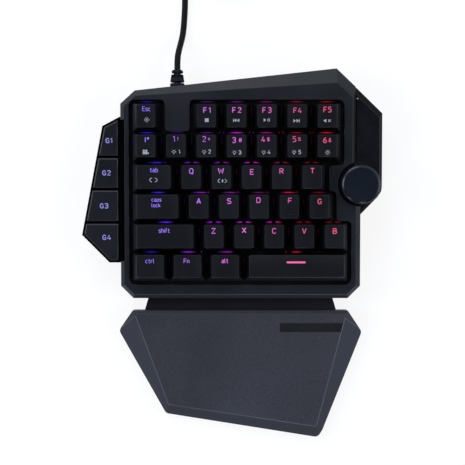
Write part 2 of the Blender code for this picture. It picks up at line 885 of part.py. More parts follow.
def build_side_trim():
    lobe_radius = recess_radius - gap
    top_x = trim_x + gap
    low_x = case_right_x + gap
    rise = math.acos((top_x - knob_x) / lobe_radius)
    fall = 2 * math.pi - math.acos((low_x - knob_x) / lobe_radius)
    lobe = arc(knob_centre, lobe_radius, rise, fall, lobe_steps)
    outline = [*right_wing, (top_x, diagonal_y(top_x)), *lobe]
    outer_sides = len(right_wing)
    chamfer = (trim_chamfer, trim_chamfer)
    widths = [chamfer] * (outer_sides - 1) + [(trim_diagonal, trim_diagonal)]
    widths += [(gap, gap)] * (len(outline) - outer_sides)
    edge_drops = [trim_drop + trim_chamfer_drop] * (outer_sides + 1)
    edge_drops += [trim_drop + gap] * (len(outline) - outer_sides - 1)
    rings = [
        ring_at(outline, seam_drop),
        ring_at(outline, edge_drops),
        ring_at(inset(outline, widths), trim_drop),
    ]
    item = place("side_trim", loft("side_trim", rings), gloss_plastic)
    space = slab("trim_space", inset(outline, case_wall), trim_drop + trim_thickness, seam_drop + overrun)
    cut(item, "trim_space", space)
    hole = cylinder("bushing_hole", bushing_radius + gap, -seam_drop, 0)
    cut(item, "bushing_hole", hole, deck_frame, (knob_x, knob_y / math.cos(tilt), 0))


# Knob and encoder


def build_knob():
    centre = (knob_x, knob_y / math.cos(tilt), 0)
    bottom = -trim_drop + knob_gap
    ceiling = knob_top - knob_roof
    hub_end = -trim_drop + bushing_rise + 2 * gap
    bore = shaft_radius + gap
    rim = [
        (knob_radius - knob_rim + knob_rim * math.sin(a), knob_top - knob_rim + knob_rim * math.cos(a))
        for a in (0, math.radians(30), math.radians(60), math.radians(90))
    ]
    inside = knob_radius - knob_wall
    profile = [(0, knob_top), *rim, (knob_radius, bottom), (inside, bottom), (inside, ceiling)]
    profile += [(hub_radius, ceiling), (hub_radius, hub_end), (bore, hub_end), (bore, ceiling), (0, ceiling)]
    turned("knob", profile, knob_steps, knob_plastic, deck_frame, centre)

    encoder_top = -seam_drop - gap
    encoder_bottom = -(board_drop - gap)
    shaft_end = encoder_top - encoder_height / 2
    shaft = cylinder("encoder_shaft", shaft_radius, shaft_end, ceiling - gap)
    place("encoder_shaft", shaft, steel, deck_frame, centre)
    half = encoder_width / 2
    body = box("encoder_body", (-half, -half, encoder_bottom), (half, half, encoder_top))
    item = place("encoder_body", body, steel, deck_frame, centre)
    top = -trim_drop + bushing_rise
    join(item, "bushing", cylinder("bushing", bushing_radius, encoder_top - gap, top), deck_frame, centre)
    bore_hole = cylinder("encoder_bore", shaft_radius + gap, shaft_end - gap, top + overrun)
    cut(item, "encoder_bore", bore_hole, deck_frame, centre)
    nut_low = -trim_drop + gap
    nut = cylinder("encoder_nut", nut_radius, nut_low, nut_low + nut_thickness, nut_sides)
    item = place("encoder_nut", nut, steel, deck_frame, centre)
    hole = cylinder("nut_hole", bushing_radius + gap, -overrun, overrun)
    cut(item, "nut_hole", hole, deck_frame, centre)


# Switch plate with its housings, and the circuit board


def build_switch_bank():
    outline = inset(well_outline()[0], -(well_wall + plate_margin))
    outline = cut_corners(outline, (0, 1, len(outline) - 1), plate_corner)
    plate = slab("switch_bank", outline, plate_drop, plate_drop + plate_thickness)
    item = place("switch_bank", plate, black_plastic)
    housings, bores = bmesh.new(), bmesh.new()
    for x, v, (base, top_width, top_depth, lower), (bore_width, bore_depth) in housing_spots():
        sections = (
            (lower, lower, -plate_drop - lower_housing_depth),
            (lower, lower, -plate_drop - plate_thickness / 2),
            (base, base, -plate_drop - plate_thickness / 2),
            (base, base, -plate_drop + plate_thickness / 2),
            (top_width, top_depth, -plate_drop + housing_height),
        )
        add_loft(housings, [ring_flat(rectangle(x, v, w, d), h) for w, d, h in sections])
        bore = rectangle(x, v, bore_width + 2 * gap, bore_depth + 2 * gap)
        low, high = -plate_drop - lower_housing_depth - overrun, -plate_drop + housing_height + overrun
        add_loft(bores, [ring_flat(bore, low), ring_flat(bore, high)])
    join(item, "switch_housings", finish("switch_housings", housings), deck_frame)
    cut(item, "slider_bores", finish("slider_bores", bores), deck_frame)


def macro_centres():
    breaks = [wing_top_y, *macro_breaks_y, wing_front_y]
    return [(plunger_x, (a + b) / 2) for a, b in zip(breaks, breaks[1:])]


def build_circuit_board():
    outline = band(inset(whole_outline, case_wall + board_margin), case_front_y, board_rear_y)
    board = slab("circuit_board", outline, board_drop, board_drop + board_thickness)
    item = place("circuit_board", board, board_laminate)
    half = macro_switch_width / 2
    bore = plunger_width / 2 + gap
    for number, (x, y) in enumerate(macro_centres()):
        spot = (x, y / math.cos(tilt), -board_drop)
        low, high = (-half, -half, -board_thickness / 2), (half, half, macro_switch_height)
        join(item, f"macro_switch_{number}", box("macro_switch", low, high), deck_frame, spot)
        low, high = (-bore, -bore, gap), (bore, bore, macro_switch_height + overrun)
        cut(item, f"macro_bore_{number}", box("macro_bore", low, high), deck_frame, spot)


# Left wing


def tray_outline():
    right = case_left_x + notch_depth - gap
    return [
        *left_wing,
        (case_left_x - gap, notch_front_y + gap),
        (right, notch_front_y + gap),
        (right, notch_rear_y - gap),
        (case_left_x - gap, notch_rear_y - gap),
    ]


def pocket_outline():
    bar = case_left_x - gap - macro_right_x
    return inset(left_wing, [(tray_rim, tray_rim)] * 4 + [(bar, bar)])


def build_macro_tray():
    item = place("macro_tray", slab("macro_tray", tray_outline(), tray_drop, seam_drop), black_plastic)
    cut(item, "macro_pocket", slab("macro_pocket", pocket_outline(), -overrun, tray_floor_drop))
    half = plunger_width / 2 + gap
    for number, (x, y) in enumerate(macro_centres()):
        hole = box("plunger_hole", (-half, -half, -seam_drop - overrun), (half, half, 0))
        cut(item, f"plunger_hole_{number}", hole, deck_frame, (x, y / math.cos(tilt), 0))


def build_macro_keys():
    field = inset(pocket_outline(), macro_clearance)
    breaks = [wing_rear_y, *macro_breaks_y, wing_front_y]
    bottom = macro_drop + macro_thickness
    for number, (rear, front) in enumerate(zip(breaks, breaks[1:])):
        outline = band(field, front + macro_gap / 2, rear - macro_gap / 2)
        rings = [
            ring_at(outline, bottom),
            ring_at(outline, macro_drop + macro_bevel_drop),
            ring_at(inset(outline, macro_bevel), macro_drop),
        ]
        name = f"macro_key_{number + 1}"
        item = place(name, loft(name, rings), cap_plastic)
        x, y = macro_centres()[number]
        spot = (x, y / math.cos(tilt), 0)
        half = plunger_width / 2
        low = (-half, -half, -board_drop + macro_switch_height - plunger_engaged)
        high = (half, half, -macro_drop - macro_thickness / 2)
        join(item, f"plunger_{number + 1}", box("plunger", low, high), deck_frame, spot)


# Wrist rest


def rest_height(y, drop=0.0):
    """The top face falls evenly from its rear crease to its front one."""
    share = (crease_rear_y - y) / (crease_rear_y - crease_front_right_y)
    return rest_rear_height + (rest_front_height - rest_rear_height) * share - drop


rest_edge = [
    (rest_rear_right_x, rest_rear_y),
    (rest_rear_left_x, rest_rear_y),
    (rest_left_x, rest_left_y),
    (rest_front_left_x, rest_front_left_y),
    (rest_tip_x, rest_tip_y),
    (rest_tip_side_x, rest_tip_side_y),
    (rest_right_x, rest_right_y),
]
rest_crease = [
    (crease_rear_right_x, crease_rear_y),
    (crease_rear_left_x, crease_rear_y),
    (crease_left_x, crease_left_y),
    (crease_front_left_x, crease_front_left_y),
    (crease_front_right_x, crease_front_right_y),
    (crease_front_right_x + rest_lip, crease_front_right_y + rest_lip),
    (crease_right_x, crease_right_y),
]
tongue = [
    (tongue_left_x - tongue_flare, rest_rear_y - tongue_root),
    (tongue_right_x + tongue_flare, rest_rear_y - tongue_root),
    (tongue_right_x + tongue_flare, rest_rear_y),
    (tongue_right_x, case_front_y - gap),
    (tongue_left_x, case_front_y - gap),
    (tongue_left_x - tongue_flare, rest_rear_y),
]


def build_wrist_rest():
    rear_radii = [rest_rear_corner] * 2
    front_radii = [rest_corner] * (len(rest_edge) - 2)
    edge = rounded(rest_edge, rear_radii + front_radii)
    low_edge = rounded(inset(rest_edge, rest_lip), rear_radii + front_radii)
    rear_points = 2 * (corner_steps + 1)
    edge_heights = [rest_rear_height - rest_lip] * rear_points
    edge_heights += [rest_edge_height] * (len(edge) - rear_points)
    rings = [
        ring_flat(low_edge, foot_gap),
        ring_flat(edge, foot_gap + rest_lip),
        [(x, y, height) for (x, y), height in zip(edge, edge_heights)],
        [(x, y, rest_height(y)) for x, y in rounded(rest_crease, crease_corner)],
    ]
    item = place("wrist_rest_shell", loft("wrist_rest_shell", rings), rest_plastic)
    inside = inset(rest_edge, rest_wall + rest_lip)
    low_crease = inset(rest_crease, rest_wall)
    space = [
        ring_flat(inside, -overrun),
        ring_flat(inside, rest_edge_height - rest_wall),
        [(x, y, rest_height(y, rest_wall + rest_lip)) for x, y in low_crease],
    ]
    cut(item, "rest_space", loft("rest_space", space))
    slot = inset(tongue, -gap)
    cut(item, "tongue_slot", flat("tongue_slot", slot, -overrun, tongue_height + gap))

    plate = flat("wrist_rest_base", inset(inside, gap), foot_gap, foot_gap + base_thickness)
    base = place("wrist_rest_base", plate, black_plastic)
    join(base, "tongue", flat("tongue", tongue, foot_gap, tongue_height))
    half, hook_top = hook_width / 2, hook_height + hook_thickness
    for side in (-1, 1):
        low = (side * hook_x - half, case_front_y - gap - rest_wall, hook_height)
        high = (side * hook_x + half, case_front_y - gap + hook_length, hook_top)
        join(base, f"hook_{side + 1}", box("hook", low, high))
    outline = foot_outline(rest_foot_x, rest_foot_y, rest_foot_length, gap)
    cut(base, "rest_foot_pocket", flat("rest_foot_pocket", outline, -overrun, foot_gap + foot_pocket))


# Strain relief, cord, coil and plug


def relief_start_y():
    return relief_wall_y() + relief_seat


def relief_end_y():
    return relief_start_y() + sum(length for radius, length in relief_ribs)


def build_strain_relief():
    """Turned about the cord's own line; its heights run from the case outwards."""
    profile, height = [], relief_end_y() - relief_start_y()
    for radius, length in reversed(relief_ribs):
        profile += [(radius, height), (radius, height - length)]
        height -= length
    inner = -(relief_seat + case_wall + relief_flange_seat)
    profile += [(wall_neck_radius, 0), (wall_neck_radius, inner)]
    profile += [(relief_flange_radius, inner), (relief_flange_radius, inner - relief_flange_length)]
    profile = [(0, profile[0][1]), *profile, (0, profile[-1][1])]
    place_at = (relief_x, relief_start_y(), relief_height)
    turned("strain_relief", profile, round_steps, rubber, None, place_at, (math.radians(-90), 0, 0))


def smooth_line(points, spacing):
    """A Catmull-Rom curve through the points, read at even steps."""
    route = [Vector(point) for point in points]
    route = [2 * route[0] - route[1], *route, 2 * route[-1] - route[-2]]
    fine = []
    for a, b, c, d in zip(route, route[1:], route[2:], route[3:]):
        for step in range(points_per_span):
            t = step / points_per_span
            bow = (2 * a - 5 * b + 4 * c - d) * t**2 + (3 * b - a - 3 * c + d) * t**3
            fine.append((2 * b + (c - a) * t + bow) / 2)
    fine.append(route[-2])
    length = sum((b - a).length for a, b in zip(fine, fine[1:]))
    count = max(2, round(length / spacing))
    made, walked, target = [fine[0]], 0.0, length / count
    for a, b in zip(fine, fine[1:]):
        step = (b - a).length
        while walked + step >= target * len(made) and len(made) < count:
            made.append(a.lerp(b, (target * len(made) - walked) / step))
        walked += step
    return made + [fine[-1]]


def tube(name, points, roundness):
    curve = bpy.data.curves.new(name, "CURVE")
    curve.dimensions = "3D"
    curve.bevel_depth = cord_diameter / 2
    curve.bevel_resolution = roundness
    curve.use_fill_caps = True
    spline = curve.splines.new("POLY")
    spline.points.add(len(points) - 1)
    for spot, point in zip(spline.points, points):
        spot.co = (*point, 1)
    return place(name, curve, rubber)


coil_centre = (cord_end_x + coil_radius, cord_end_y + cord_diameter + gap)
coil_floor = cord_diameter / 2


def eased(share):
    return share * share * (3 - 2 * share)


def coil_point(turn):
    """A point of the coil: it spirals in and out, and climbs a layer where it reverses."""
    layer = min(int(turn / coil_turns_per_layer), coil_layer_count - 1)
    inside = turn - layer * coil_turns_per_layer
    travelled = inside if layer % 2 == 0 else coil_turns_per_layer - inside
    radius = coil_radius - coil_pitch * travelled
    height = 0.0
    for step in range(1, coil_layer_count):
        height += min(max((turn - step * coil_turns_per_layer) * 2 + 0.5, 0), 1)
    angle = math.pi - 2 * math.pi * turn
    x = coil_centre[0] + radius * math.cos(angle)
    y = coil_centre[1] + radius * math.sin(angle)
    return Vector((x, y, coil_floor + height * coil_pitch))


def coil_route():
    """Straight in, the layers, then a lift and a short bend inwards to the plug on top."""
    turns = coil_turns_per_layer * coil_layer_count
    steps = round(turns * points_per_turn)
    points = [coil_point(turns * step / steps) for step in range(steps + 1)]
    coil_top = coil_floor + (coil_layer_count - 1) * coil_pitch + cord_diameter / 2
    plug_z = coil_top + gap + plug_thickness / 2
    lift_steps = round(lift_turn_share * points_per_turn)
    rise = plug_z - points[-1].z
    bend = tail_radius * math.pi / 2
    run = 2 * math.pi * coil_radius * lift_turn_share
    for step in range(lift_steps):
        share = eased((step + 1) / lift_steps * run / (run + bend / 2))
        points[-lift_steps + step].z += rise * share
    last = points[-1]
    heading = (last - points[-2]).to_2d().normalized()
    inward = Vector((heading.y, -heading.x))
    middle = last.to_2d() + inward * tail_radius
    for step in range(1, tail_steps + 1):
        angle = math.pi / 2 * step / tail_steps
        spot = middle + (heading * math.sin(angle) - inward * math.cos(angle)) * tail_radius
        share = eased(min(1, (run + bend * step / tail_steps) / (run + bend / 2)))
        points.append(Vector((spot.x, spot.y, points[steps - lift_steps].z + rise * share)))
    start = points[0] - Vector((0, cord_diameter, 0))
    end = points[-1] + Vector((inward.x, inward.y, 0)) * cord_diameter
    return [start, *points, end], inward


def least_gap(points):
    """The least space between stretches of the tube that aren't next to each other."""
    near = points_per_turn // 3
    closest = min(
        (points[i] - points[j]).length for i in range(len(points)) for j in range(i + near, len(points))
    )
    return closest - cord_diameter


def build_cord():
    exit_point = (relief_x, relief_end_y() + gap, relief_height)
    straight = (relief_x, relief_end_y() + gap + cord_diameter, relief_height)
    route = [exit_point, straight, *cord_points, (cord_end_x, cord_end_y, coil_floor)]
    free = smooth_line(route, 2 * cord_diameter)
    tube("cord", free, cord_side_steps)
    points, plug_heading = coil_route()
    tube("cord_coil", points, coil_side_steps)
    print("least gap of the coil to itself, mm:", round(least_gap(points) * 1000, 3))
    lengths = [sum((b - a).length for a, b in zip(line, line[1:])) for line in (free, points)]
    print("cord outside and inside the coil, m:", [round(length, 3) for length in lengths])

    low = (-plug_width / 2, 0, -plug_thickness / 2)
    high = (plug_width / 2, plug_length, plug_thickness / 2)
    turn = math.atan2(plug_heading.y, plug_heading.x) - math.radians(90)
    spot = points[-1] + Vector((plug_heading.x, plug_heading.y, 0)) * gap
    item = place("usb_plug", box("usb_plug", low, high), rubber, None, spot, (0, 0, turn))
    edges = item.modifiers.new("Rounded", "BEVEL")
    edges.width = plug_corner
    edges.segments = plug_corner_steps
    low = (-shell_width / 2, plug_length / 2, -shell_thickness / 2)
    high = (shell_width / 2, plug_length + shell_length, shell_thickness / 2)
    join(item, "plug_shell", box("plug_shell", low, high), None, spot, (0, 0, turn))


# The whole keypad

for key in key_places():
    build_keycap(*key)
build_top_case()
build_bottom_case()
build_side_trim()
build_knob()
build_switch_bank()
build_circuit_board()
build_macro_tray()
build_macro_keys()
build_feet()
build_wrist_rest()
build_strain_relief()
build_cord()
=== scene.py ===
# One-handed gaming keypad: keycaps, lit legends, case finish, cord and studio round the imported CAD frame.
# Metres, Z up, in the CAD's own frame. The deck is tilted about X, and keys stand square on it.
import json
import math
import bpy
import bmesh
from mathutils import Matrix, Vector
from mathutils.bvhtree import BVHTree

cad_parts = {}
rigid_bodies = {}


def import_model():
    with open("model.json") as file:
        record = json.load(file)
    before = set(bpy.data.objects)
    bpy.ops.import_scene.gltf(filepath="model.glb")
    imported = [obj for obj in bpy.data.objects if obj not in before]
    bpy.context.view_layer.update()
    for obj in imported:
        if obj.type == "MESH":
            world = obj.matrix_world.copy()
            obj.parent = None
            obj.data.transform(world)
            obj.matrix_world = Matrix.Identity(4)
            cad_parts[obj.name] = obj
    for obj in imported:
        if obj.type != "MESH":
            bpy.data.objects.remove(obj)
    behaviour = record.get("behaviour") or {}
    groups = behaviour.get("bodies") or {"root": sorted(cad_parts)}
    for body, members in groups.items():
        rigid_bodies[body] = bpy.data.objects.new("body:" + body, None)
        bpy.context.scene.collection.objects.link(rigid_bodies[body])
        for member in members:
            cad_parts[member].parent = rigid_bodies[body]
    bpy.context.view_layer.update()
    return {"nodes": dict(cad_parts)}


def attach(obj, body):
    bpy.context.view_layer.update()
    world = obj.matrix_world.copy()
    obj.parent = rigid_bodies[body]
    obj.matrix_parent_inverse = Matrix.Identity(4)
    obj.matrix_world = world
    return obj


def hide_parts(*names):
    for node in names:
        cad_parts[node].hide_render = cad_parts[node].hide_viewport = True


for leftOver in list(bpy.data.objects):
    bpy.data.objects.remove(leftOver, do_unlink=True)
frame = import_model()
print("frame loaded:", len(frame["nodes"]), "nodes")

mm = 0.001
deck = {"tilt": math.radians(3.5), "height": 0.0220}
deckMatrix = Matrix.Translation((0, 0, deck["height"])) @ Matrix.Rotation(deck["tilt"], 4, "X")


# Small tools


def toLinear(code):  # sRGB hex to the linear colour that Blender's sockets take
    parts = [int(code[i:i + 2], 16) / 255 for i in (1, 3, 5)]
    return [p / 12.92 if p <= 0.04045 else ((p + 0.055) / 1.055) ** 2.4 for p in parts] + [1.0]


def addNode(tree, kind, values=None, links=None, **settings):
    node = tree.nodes.new("ShaderNode" + kind)
    for name, value in settings.items():
        setattr(node, name, value)
    for name, value in (values or {}).items():
        node.inputs[name].default_value = value
    for name, source in (links or {}).items():
        tree.links.new(source, node.inputs[name])
    return node


def newMaterial(name, values):
    made = bpy.data.materials.new(name)
    made.use_nodes = True
    shader = made.node_tree.nodes["Principled BSDF"]
    for socket, value in values.items():
        shader.inputs[socket].default_value = value
    return made, made.node_tree, shader


def placed(name, data, materials=()):  # a new object in the scene, of one material or a tuple of them
    piece = bpy.data.objects.new(name, data)
    bpy.context.scene.collection.objects.link(piece)
    for material in materials if isinstance(materials, tuple) else (materials,):
        data.materials.append(material)
    return piece


def given(piece, body, stands=()):  # stands names the CAD nodes that the piece stands in for
    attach(piece, body)
    if stands:
        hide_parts(*stands)
    return piece


def addPiece(name, data, materials, body, stands=()):
    return given(placed(name, data, materials), body, stands)


def evaluatedMesh(piece):  # the piece's mesh with its modifiers, as a copy of its own
    bpy.context.view_layer.update()
    return bpy.data.meshes.new_from_object(piece.evaluated_get(bpy.context.evaluated_depsgraph_get()))


def takeMesh(piece, data):  # data instead of the piece's own mesh and modifiers
    old = piece.data
    piece.modifiers.clear()
    piece.data = data
    bpy.data.meshes.remove(old)


def closeMesh(name, shape, sharp=30):  # bmesh to a mesh, smooth but for its sharp edges
    bmesh.ops.recalc_face_normals(shape, faces=shape.faces[:])
    data = bpy.data.meshes.new(name)
    shape.to_mesh(data)
    shape.free()
    data.shade_smooth()
    data.set_sharp_from_angle(angle=math.radians(sharp))
    return data


def cutShape(target, cutter):  # takes the cutter's shape out of the target, and leaves plain mesh
    tool = placed("cutter", closeMesh("cutter", cutter))
    step = target.modifiers.new("cut", "BOOLEAN")
    step.operation, step.object, step.solver = "DIFFERENCE", tool, "EXACT"
    takeMesh(target, evaluatedMesh(target))
    bpy.data.objects.remove(tool)


def loftRings(shape, rings, wrap=False, bandMaterials=()):
    # Joins rings of points in turn and closes both ends, or with wrap joins the last ring to the first.
    # bandMaterials gives the material's number for each band between rings, where it isn't the first.
    layers = [[shape.verts.new(point) for point in ring] for ring in rings]
    if wrap:
        layers.append(layers[0])
    for band, (lower, upper) in enumerate(zip(layers, layers[1:])):
        for i in range(len(lower)):
            j = (i + 1) % len(lower)
            face = shape.faces.new((lower[i], lower[j], upper[j], upper[i]))
            face.material_index = bandMaterials[band] if band < len(bandMaterials) else 0
    if not wrap:
        shape.faces.new(layers[0][::-1])
        shape.faces.new(layers[-1])


def addBox(shape, low, high):
    made = bmesh.ops.create_cube(shape, size=1)
    for vert in made["verts"]:
        for axis in range(3):
            vert.co[axis] = high[axis] if vert.co[axis] > 0 else low[axis]


def lofted(rings, wrap=False):  # a new shape of rings alone
    shape = bmesh.new()
    loftRings(shape, rings, wrap)
    return shape


def boxed(*boxes):  # a new shape of boxes, each given as its low and its high corner
    shape = bmesh.new()
    for low, high in boxes:
        addBox(shape, low, high)
    return shape


def roundedRectangle(halfWidth, halfDepth, corner, acrossSteps, alongSteps, cornerSteps):
    # Points run anticlockwise, with some along the sides so that the outline can follow a dish
    points = []
    inX, inY = halfWidth - corner, halfDepth - corner
    corners = [Vector((inX * x, inY * y)) for x, y in ((1, -1), (1, 1), (-1, 1), (-1, -1))]
    for turn in range(4):
        before, centre = corners[turn], corners[(turn + 1) % 4]
        start, steps = turn * math.pi / 2, acrossSteps if turn % 2 else alongSteps
        out = Vector((math.cos(start), math.sin(start))) * corner
        for step in range(1, steps):
            points.append(before.lerp(centre, step / steps) + out)
        for step in range(cornerSteps + 1):
            angle = start + math.pi / 2 * step / cornerSteps
            points.append(centre + Vector((math.cos(angle), math.sin(angle))) * corner)
    return points


def lathe(shape, profile, steps, radiusAt):
    # Profile of (radius, height), bottom to top, turned about Z; radiusAt shapes it by angle
    angles = [2 * math.pi * step / steps for step in range(steps)]
    rings = []
    for radius, height in profile:
        reaches = [radiusAt(radius, height, angle) for angle in angles]
        rings.append([(r * math.cos(a), r * math.sin(a), height) for r, a in zip(reaches, angles)])
    loftRings(shape, rings)


def moved(shape, matrix):
    bmesh.ops.transform(shape, matrix=matrix, verts=shape.verts[:])


def onDeck(x, y, lift=0.0):  # the deck's frame at the place over x and y of the desk
    return deckMatrix @ Matrix.Translation((x, y / math.cos(deck["tilt"]), lift))


def disc(x, y, radius, points=12):
    turn = 2 * math.pi / points
    return [(x + radius * math.cos(turn * k), y + radius * math.sin(turn * k)) for k in range(points)]


# Camera, floor and light

camera = {
    "place": (0.00015, 0.0136, 0.836), "pixelLength": 1275, "frame": 465, "sensor": 36.0, "clip": (0.01, 50),
}
cameraData = bpy.data.cameras.new("camera")
cameraData.sensor_width = camera["sensor"]
cameraData.lens = camera["sensor"] * camera["pixelLength"] / camera["frame"]
cameraData.clip_start, cameraData.clip_end = camera["clip"]
cameraPiece = placed("camera", cameraData)
cameraPiece.location = camera["place"]
bpy.context.scene.camera = cameraPiece
bpy.context.scene.view_settings.view_transform = "Standard"

studio = {
    "floorSize": 6.0, "floorAlbedo": "#e9e9ea", "floorVeil": (0.19, 0.19, 0.19, 1), "floorGlow": 0.85,
    "flagPlace": (0, -2.0, 1.35), "flagSize": (4.6, 4.8), "flagColour": "#1c1c1e", "flagRoughness": 0.9,
    "worldColour": "#f4f6fa", "worldFill": 0.50, "lampColour": "#eef2ff", "lampAim": (0, 0, 0.02),
    "lamps": (  # name, place, size, power
        ("rearSoftbox", (-0.45, 1.15, 1.05), 0.9, 8.0),
        ("leftSoftbox", (-1.25, 0.10, 0.95), 0.8, 11.0),
        ("rightSoftbox", (1.25, -0.10, 0.95), 0.8, 9.0),
        ("frontLeftSpot", (-0.58, -1.02, 0.84), 0.26, 2.2),
        ("frontRightSpot", (0.30, -1.19, 0.84), 0.26, 2.2),
    ),
}


def backdropMix(tree, lit, seen):  # seen for rays that meet the plain white backdrop, and lit for all others
    path = addNode(tree, "LightPath")
    share = path.outputs["Is Camera Ray"]
    for ray in ("Is Glossy Ray", "Is Transmission Ray"):
        share = addNode(tree, "Math", links={0: share, 1: path.outputs[ray]}, operation="MAXIMUM").outputs[0]
    return addNode(tree, "MixShader", links={"Fac": share, 1: lit.outputs[0], 2: seen.outputs[0]}).outputs[0]


def addSheet(name, width, depth, place, order, material):  # order 1 faces up and -1 faces down
    halfWidth, halfDepth = width / 2, depth / 2
    corners = [(x * halfWidth, y * halfDepth, 0) for x, y in ((-1, -1), (1, -1), (1, 1), (-1, 1))]
    data = bpy.data.meshes.new(name)
    data.from_pydata(corners, [], [(0, 1, 2, 3)[::order]])
    piece = placed(name, data, material)
    piece.location = place


def buildStudio():
    # Matt white paper sweep, evenly lit
    paper = bpy.data.materials.new("seamlessPaper")
    paper.use_nodes = True
    tree = paper.node_tree
    tree.nodes.clear()
    matt = addNode(tree, "BsdfDiffuse", {"Color": toLinear(studio["floorAlbedo"])})
    veil = addNode(tree, "BsdfDiffuse", {"Color": studio["floorVeil"]})
    glow = addNode(tree, "Emission", {"Color": (1, 1, 1, 1), "Strength": studio["floorGlow"]})
    seen = addNode(tree, "AddShader", links={0: veil.outputs[0], 1: glow.outputs[0]})
    addNode(tree, "OutputMaterial", links={"Surface": backdropMix(tree, matt, seen)})
    addSheet("floor", studio["floorSize"], studio["floorSize"], (0, 0, 0), 1, paper)

    # Grey cloth flag over the camera, so that the dark deck stays dark
    cloth = newMaterial("flagCloth", {"Base Color": toLinear(studio["flagColour"]),
                                      "Roughness": studio["flagRoughness"]})[0]
    addSheet("overheadFlag", *studio["flagSize"], studio["flagPlace"], -1, cloth)

    for name, place, size, power in studio["lamps"]:
        lampData = bpy.data.lights.new(name, "AREA")
        lampData.shape, lampData.size, lampData.energy = "SQUARE", size, power
        lampData.color = toLinear(studio["lampColour"])[:3]
        lamp = placed(name, lampData)
        lamp.location = place
        lamp.rotation_mode = "QUATERNION"
        lamp.rotation_quaternion = (Vector(place) - Vector(studio["lampAim"])).to_track_quat("Z", "Y")

    world = bpy.data.worlds.new("studioRoom")
    bpy.context.scene.world = world
    world.use_nodes = True
    tree = world.node_tree
    tree.nodes.clear()
    fill = addNode(tree, "Background", {"Color": toLinear(studio["worldColour"]),
                                        "Strength": studio["worldFill"]})
    white = addNode(tree, "Background", {"Color": (1, 1, 1, 1), "Strength": 1.0})
    addNode(tree, "OutputWorld", links={"Surface": backdropMix(tree, fill, white)})


buildStudio()
print("camera, floor and light are set")


# Materials


def objectPlace(tree):
    return addNode(tree, "TexCoord").outputs["Object"]


def addNoise(tree, size, **values):  # noise whose features are that many millimetres across
    return addNode(tree, "TexNoise", {"Scale": 1000 / size, **values},
                   {"Vector": objectPlace(tree)}).outputs["Fac"]


def addRamp(tree, source, *stops):  # each stop is a value and its colour
    node = addNode(tree, "ValToRGB", links={"Fac": source})
    ramp = node.color_ramp
    while len(ramp.elements) > 1:
        ramp.elements.remove(ramp.elements[0])
    ramp.elements[0].position, ramp.elements[0].color = stops[0][0], toLinear(stops[0][1])
    for position, code in stops[1:]:
        ramp.elements.new(position).color = toLinear(code)
    return node.outputs["Color"]


def addRange(tree, source, low, high, start=0.0, end=1.0):  # source from start to end becomes low to high
    return addNode(tree, "MapRange", {"From Min": start, "From Max": end, "To Min": low, "To Max": high},
                   {"Value": source}).outputs["Result"]


def multiplied(tree, first, second):
    return addNode(tree, "Mix", {"Factor": 1.0}, {"A": first, "B": second}, data_type="RGBA",
                   blend_type="MULTIPLY").outputs["Result"]


def grainBump(tree, shader, size, depth, strength):
    # Fine tooth of a spark-eroded or blasted tool surface
    noise = addNoise(tree, size, Detail=3.0, Roughness=0.6)
    bump = addNode(tree, "Bump", {"Strength": strength, "Distance": depth}, {"Height": noise})
    tree.links.new(bump.outputs["Normal"], shader.inputs["Normal"])
    return noise


def texturedAbs(name, colour, speckColour, roughness, specular, grain, depth=0.00003, strength=0.5, cloud=40,
                fade=None, ior=1.5):
    # Injection-moulded ABS from a textured tool: a soft matt sheen broken by a fine even grain
    made, tree, shader = newMaterial(name, {"IOR": ior, "Specular IOR Level": specular})
    noise = grainBump(tree, shader, grain, depth, strength)
    broad = addNoise(tree, cloud, Detail=2.0)
    shade = addRamp(tree, broad, (0.35, "#e4e4e4"), (0.65, "#ffffff"))
    tint = multiplied(tree, addRamp(tree, noise, (0.35, colour), (0.72, speckColour)), shade)
    # fade paints shade: the colour darkens from one place in Y to the other
    if fade:  # front and rear places in Y, then the share of the colour at each
        split = addNode(tree, "SeparateXYZ", links={"Vector": objectPlace(tree)})
        tint = multiplied(tree, tint, addRange(tree, split.outputs["Y"], fade[2], fade[3], fade[0], fade[1]))
    tree.links.new(tint, shader.inputs["Base Color"])
    rough = addRange(tree, broad, roughness - 0.05, roughness + 0.05, 0.3, 0.7)
    tree.links.new(rough, shader.inputs["Roughness"])
    return made


# Case: textured ABS, slightly blue black. The tool's grain gives the eye an even satin.
caseAbs = texturedAbs("texturedAbsCase", "#0c1219", "#141b23", 0.46, 0.33, 0.35)
# Keycaps: the same plastic from a finer tool, so that the tops look smoother and a little darker.
capAbs = texturedAbs("fineAbsKeycap", "#090d13", "#0f131a", 0.50, 0.20, 0.22, 0.00002, 0.35)
# Keycaps' skirts: the caps' plastic made near black, a painted shade for the dark gaps between the caps.
skirtShadeAbs = texturedAbs("draftAbsSkirt", "#020305", "#040507", 0.60, 0.10, 0.22, 0.00001, 0.25)
# Keycaps' front rims: a lighter, smoother copy of the caps' plastic, a painted highlight along the front edge
# that lamps also catch.
rimHighlightAbs = texturedAbs("rubbedAbsCapRim", "#171b21", "#1e2329", 0.36, 0.5, 0.22, 0.00001, 0.25)
# Outer skirts of the block: a lighter copy of the skirt plastic, painted light where no other cap keeps the
# light off it.
skirtLitAbs = texturedAbs("draftAbsOuterSkirt", "#12161b", "#191d23", 0.45, 0.30, 0.22, 0.00001, 0.25)
# Wrist rest: ABS with a coarse speckled grain, greyer than the case; painted shade darkens its rear.
restAbs = texturedAbs("speckledAbsRest", "#282b33", "#3d414b", 0.58, 0.4, 0.75, 0.00006, 0.7, 60,
                      (-0.112, -0.040, 1.12, 0.78))
# Wrist rest's side facets: the same plastic off a smoother part of the tool, without the speckle.
facetAbs = texturedAbs("smoothAbsFacet", "#2a2f3b", "#303541", 0.52, 0.25, 0.4, 0.00002, 0.4, 60)
# Wrist rest's rear strip: a darker copy of the same plastic, painted shade on the facet that faces the case.
rearShadeAbs = texturedAbs("fineAbsRearStrip", "#20232b", "#262a33", 0.55, 0.25, 0.4, 0.00002, 0.4, 60)
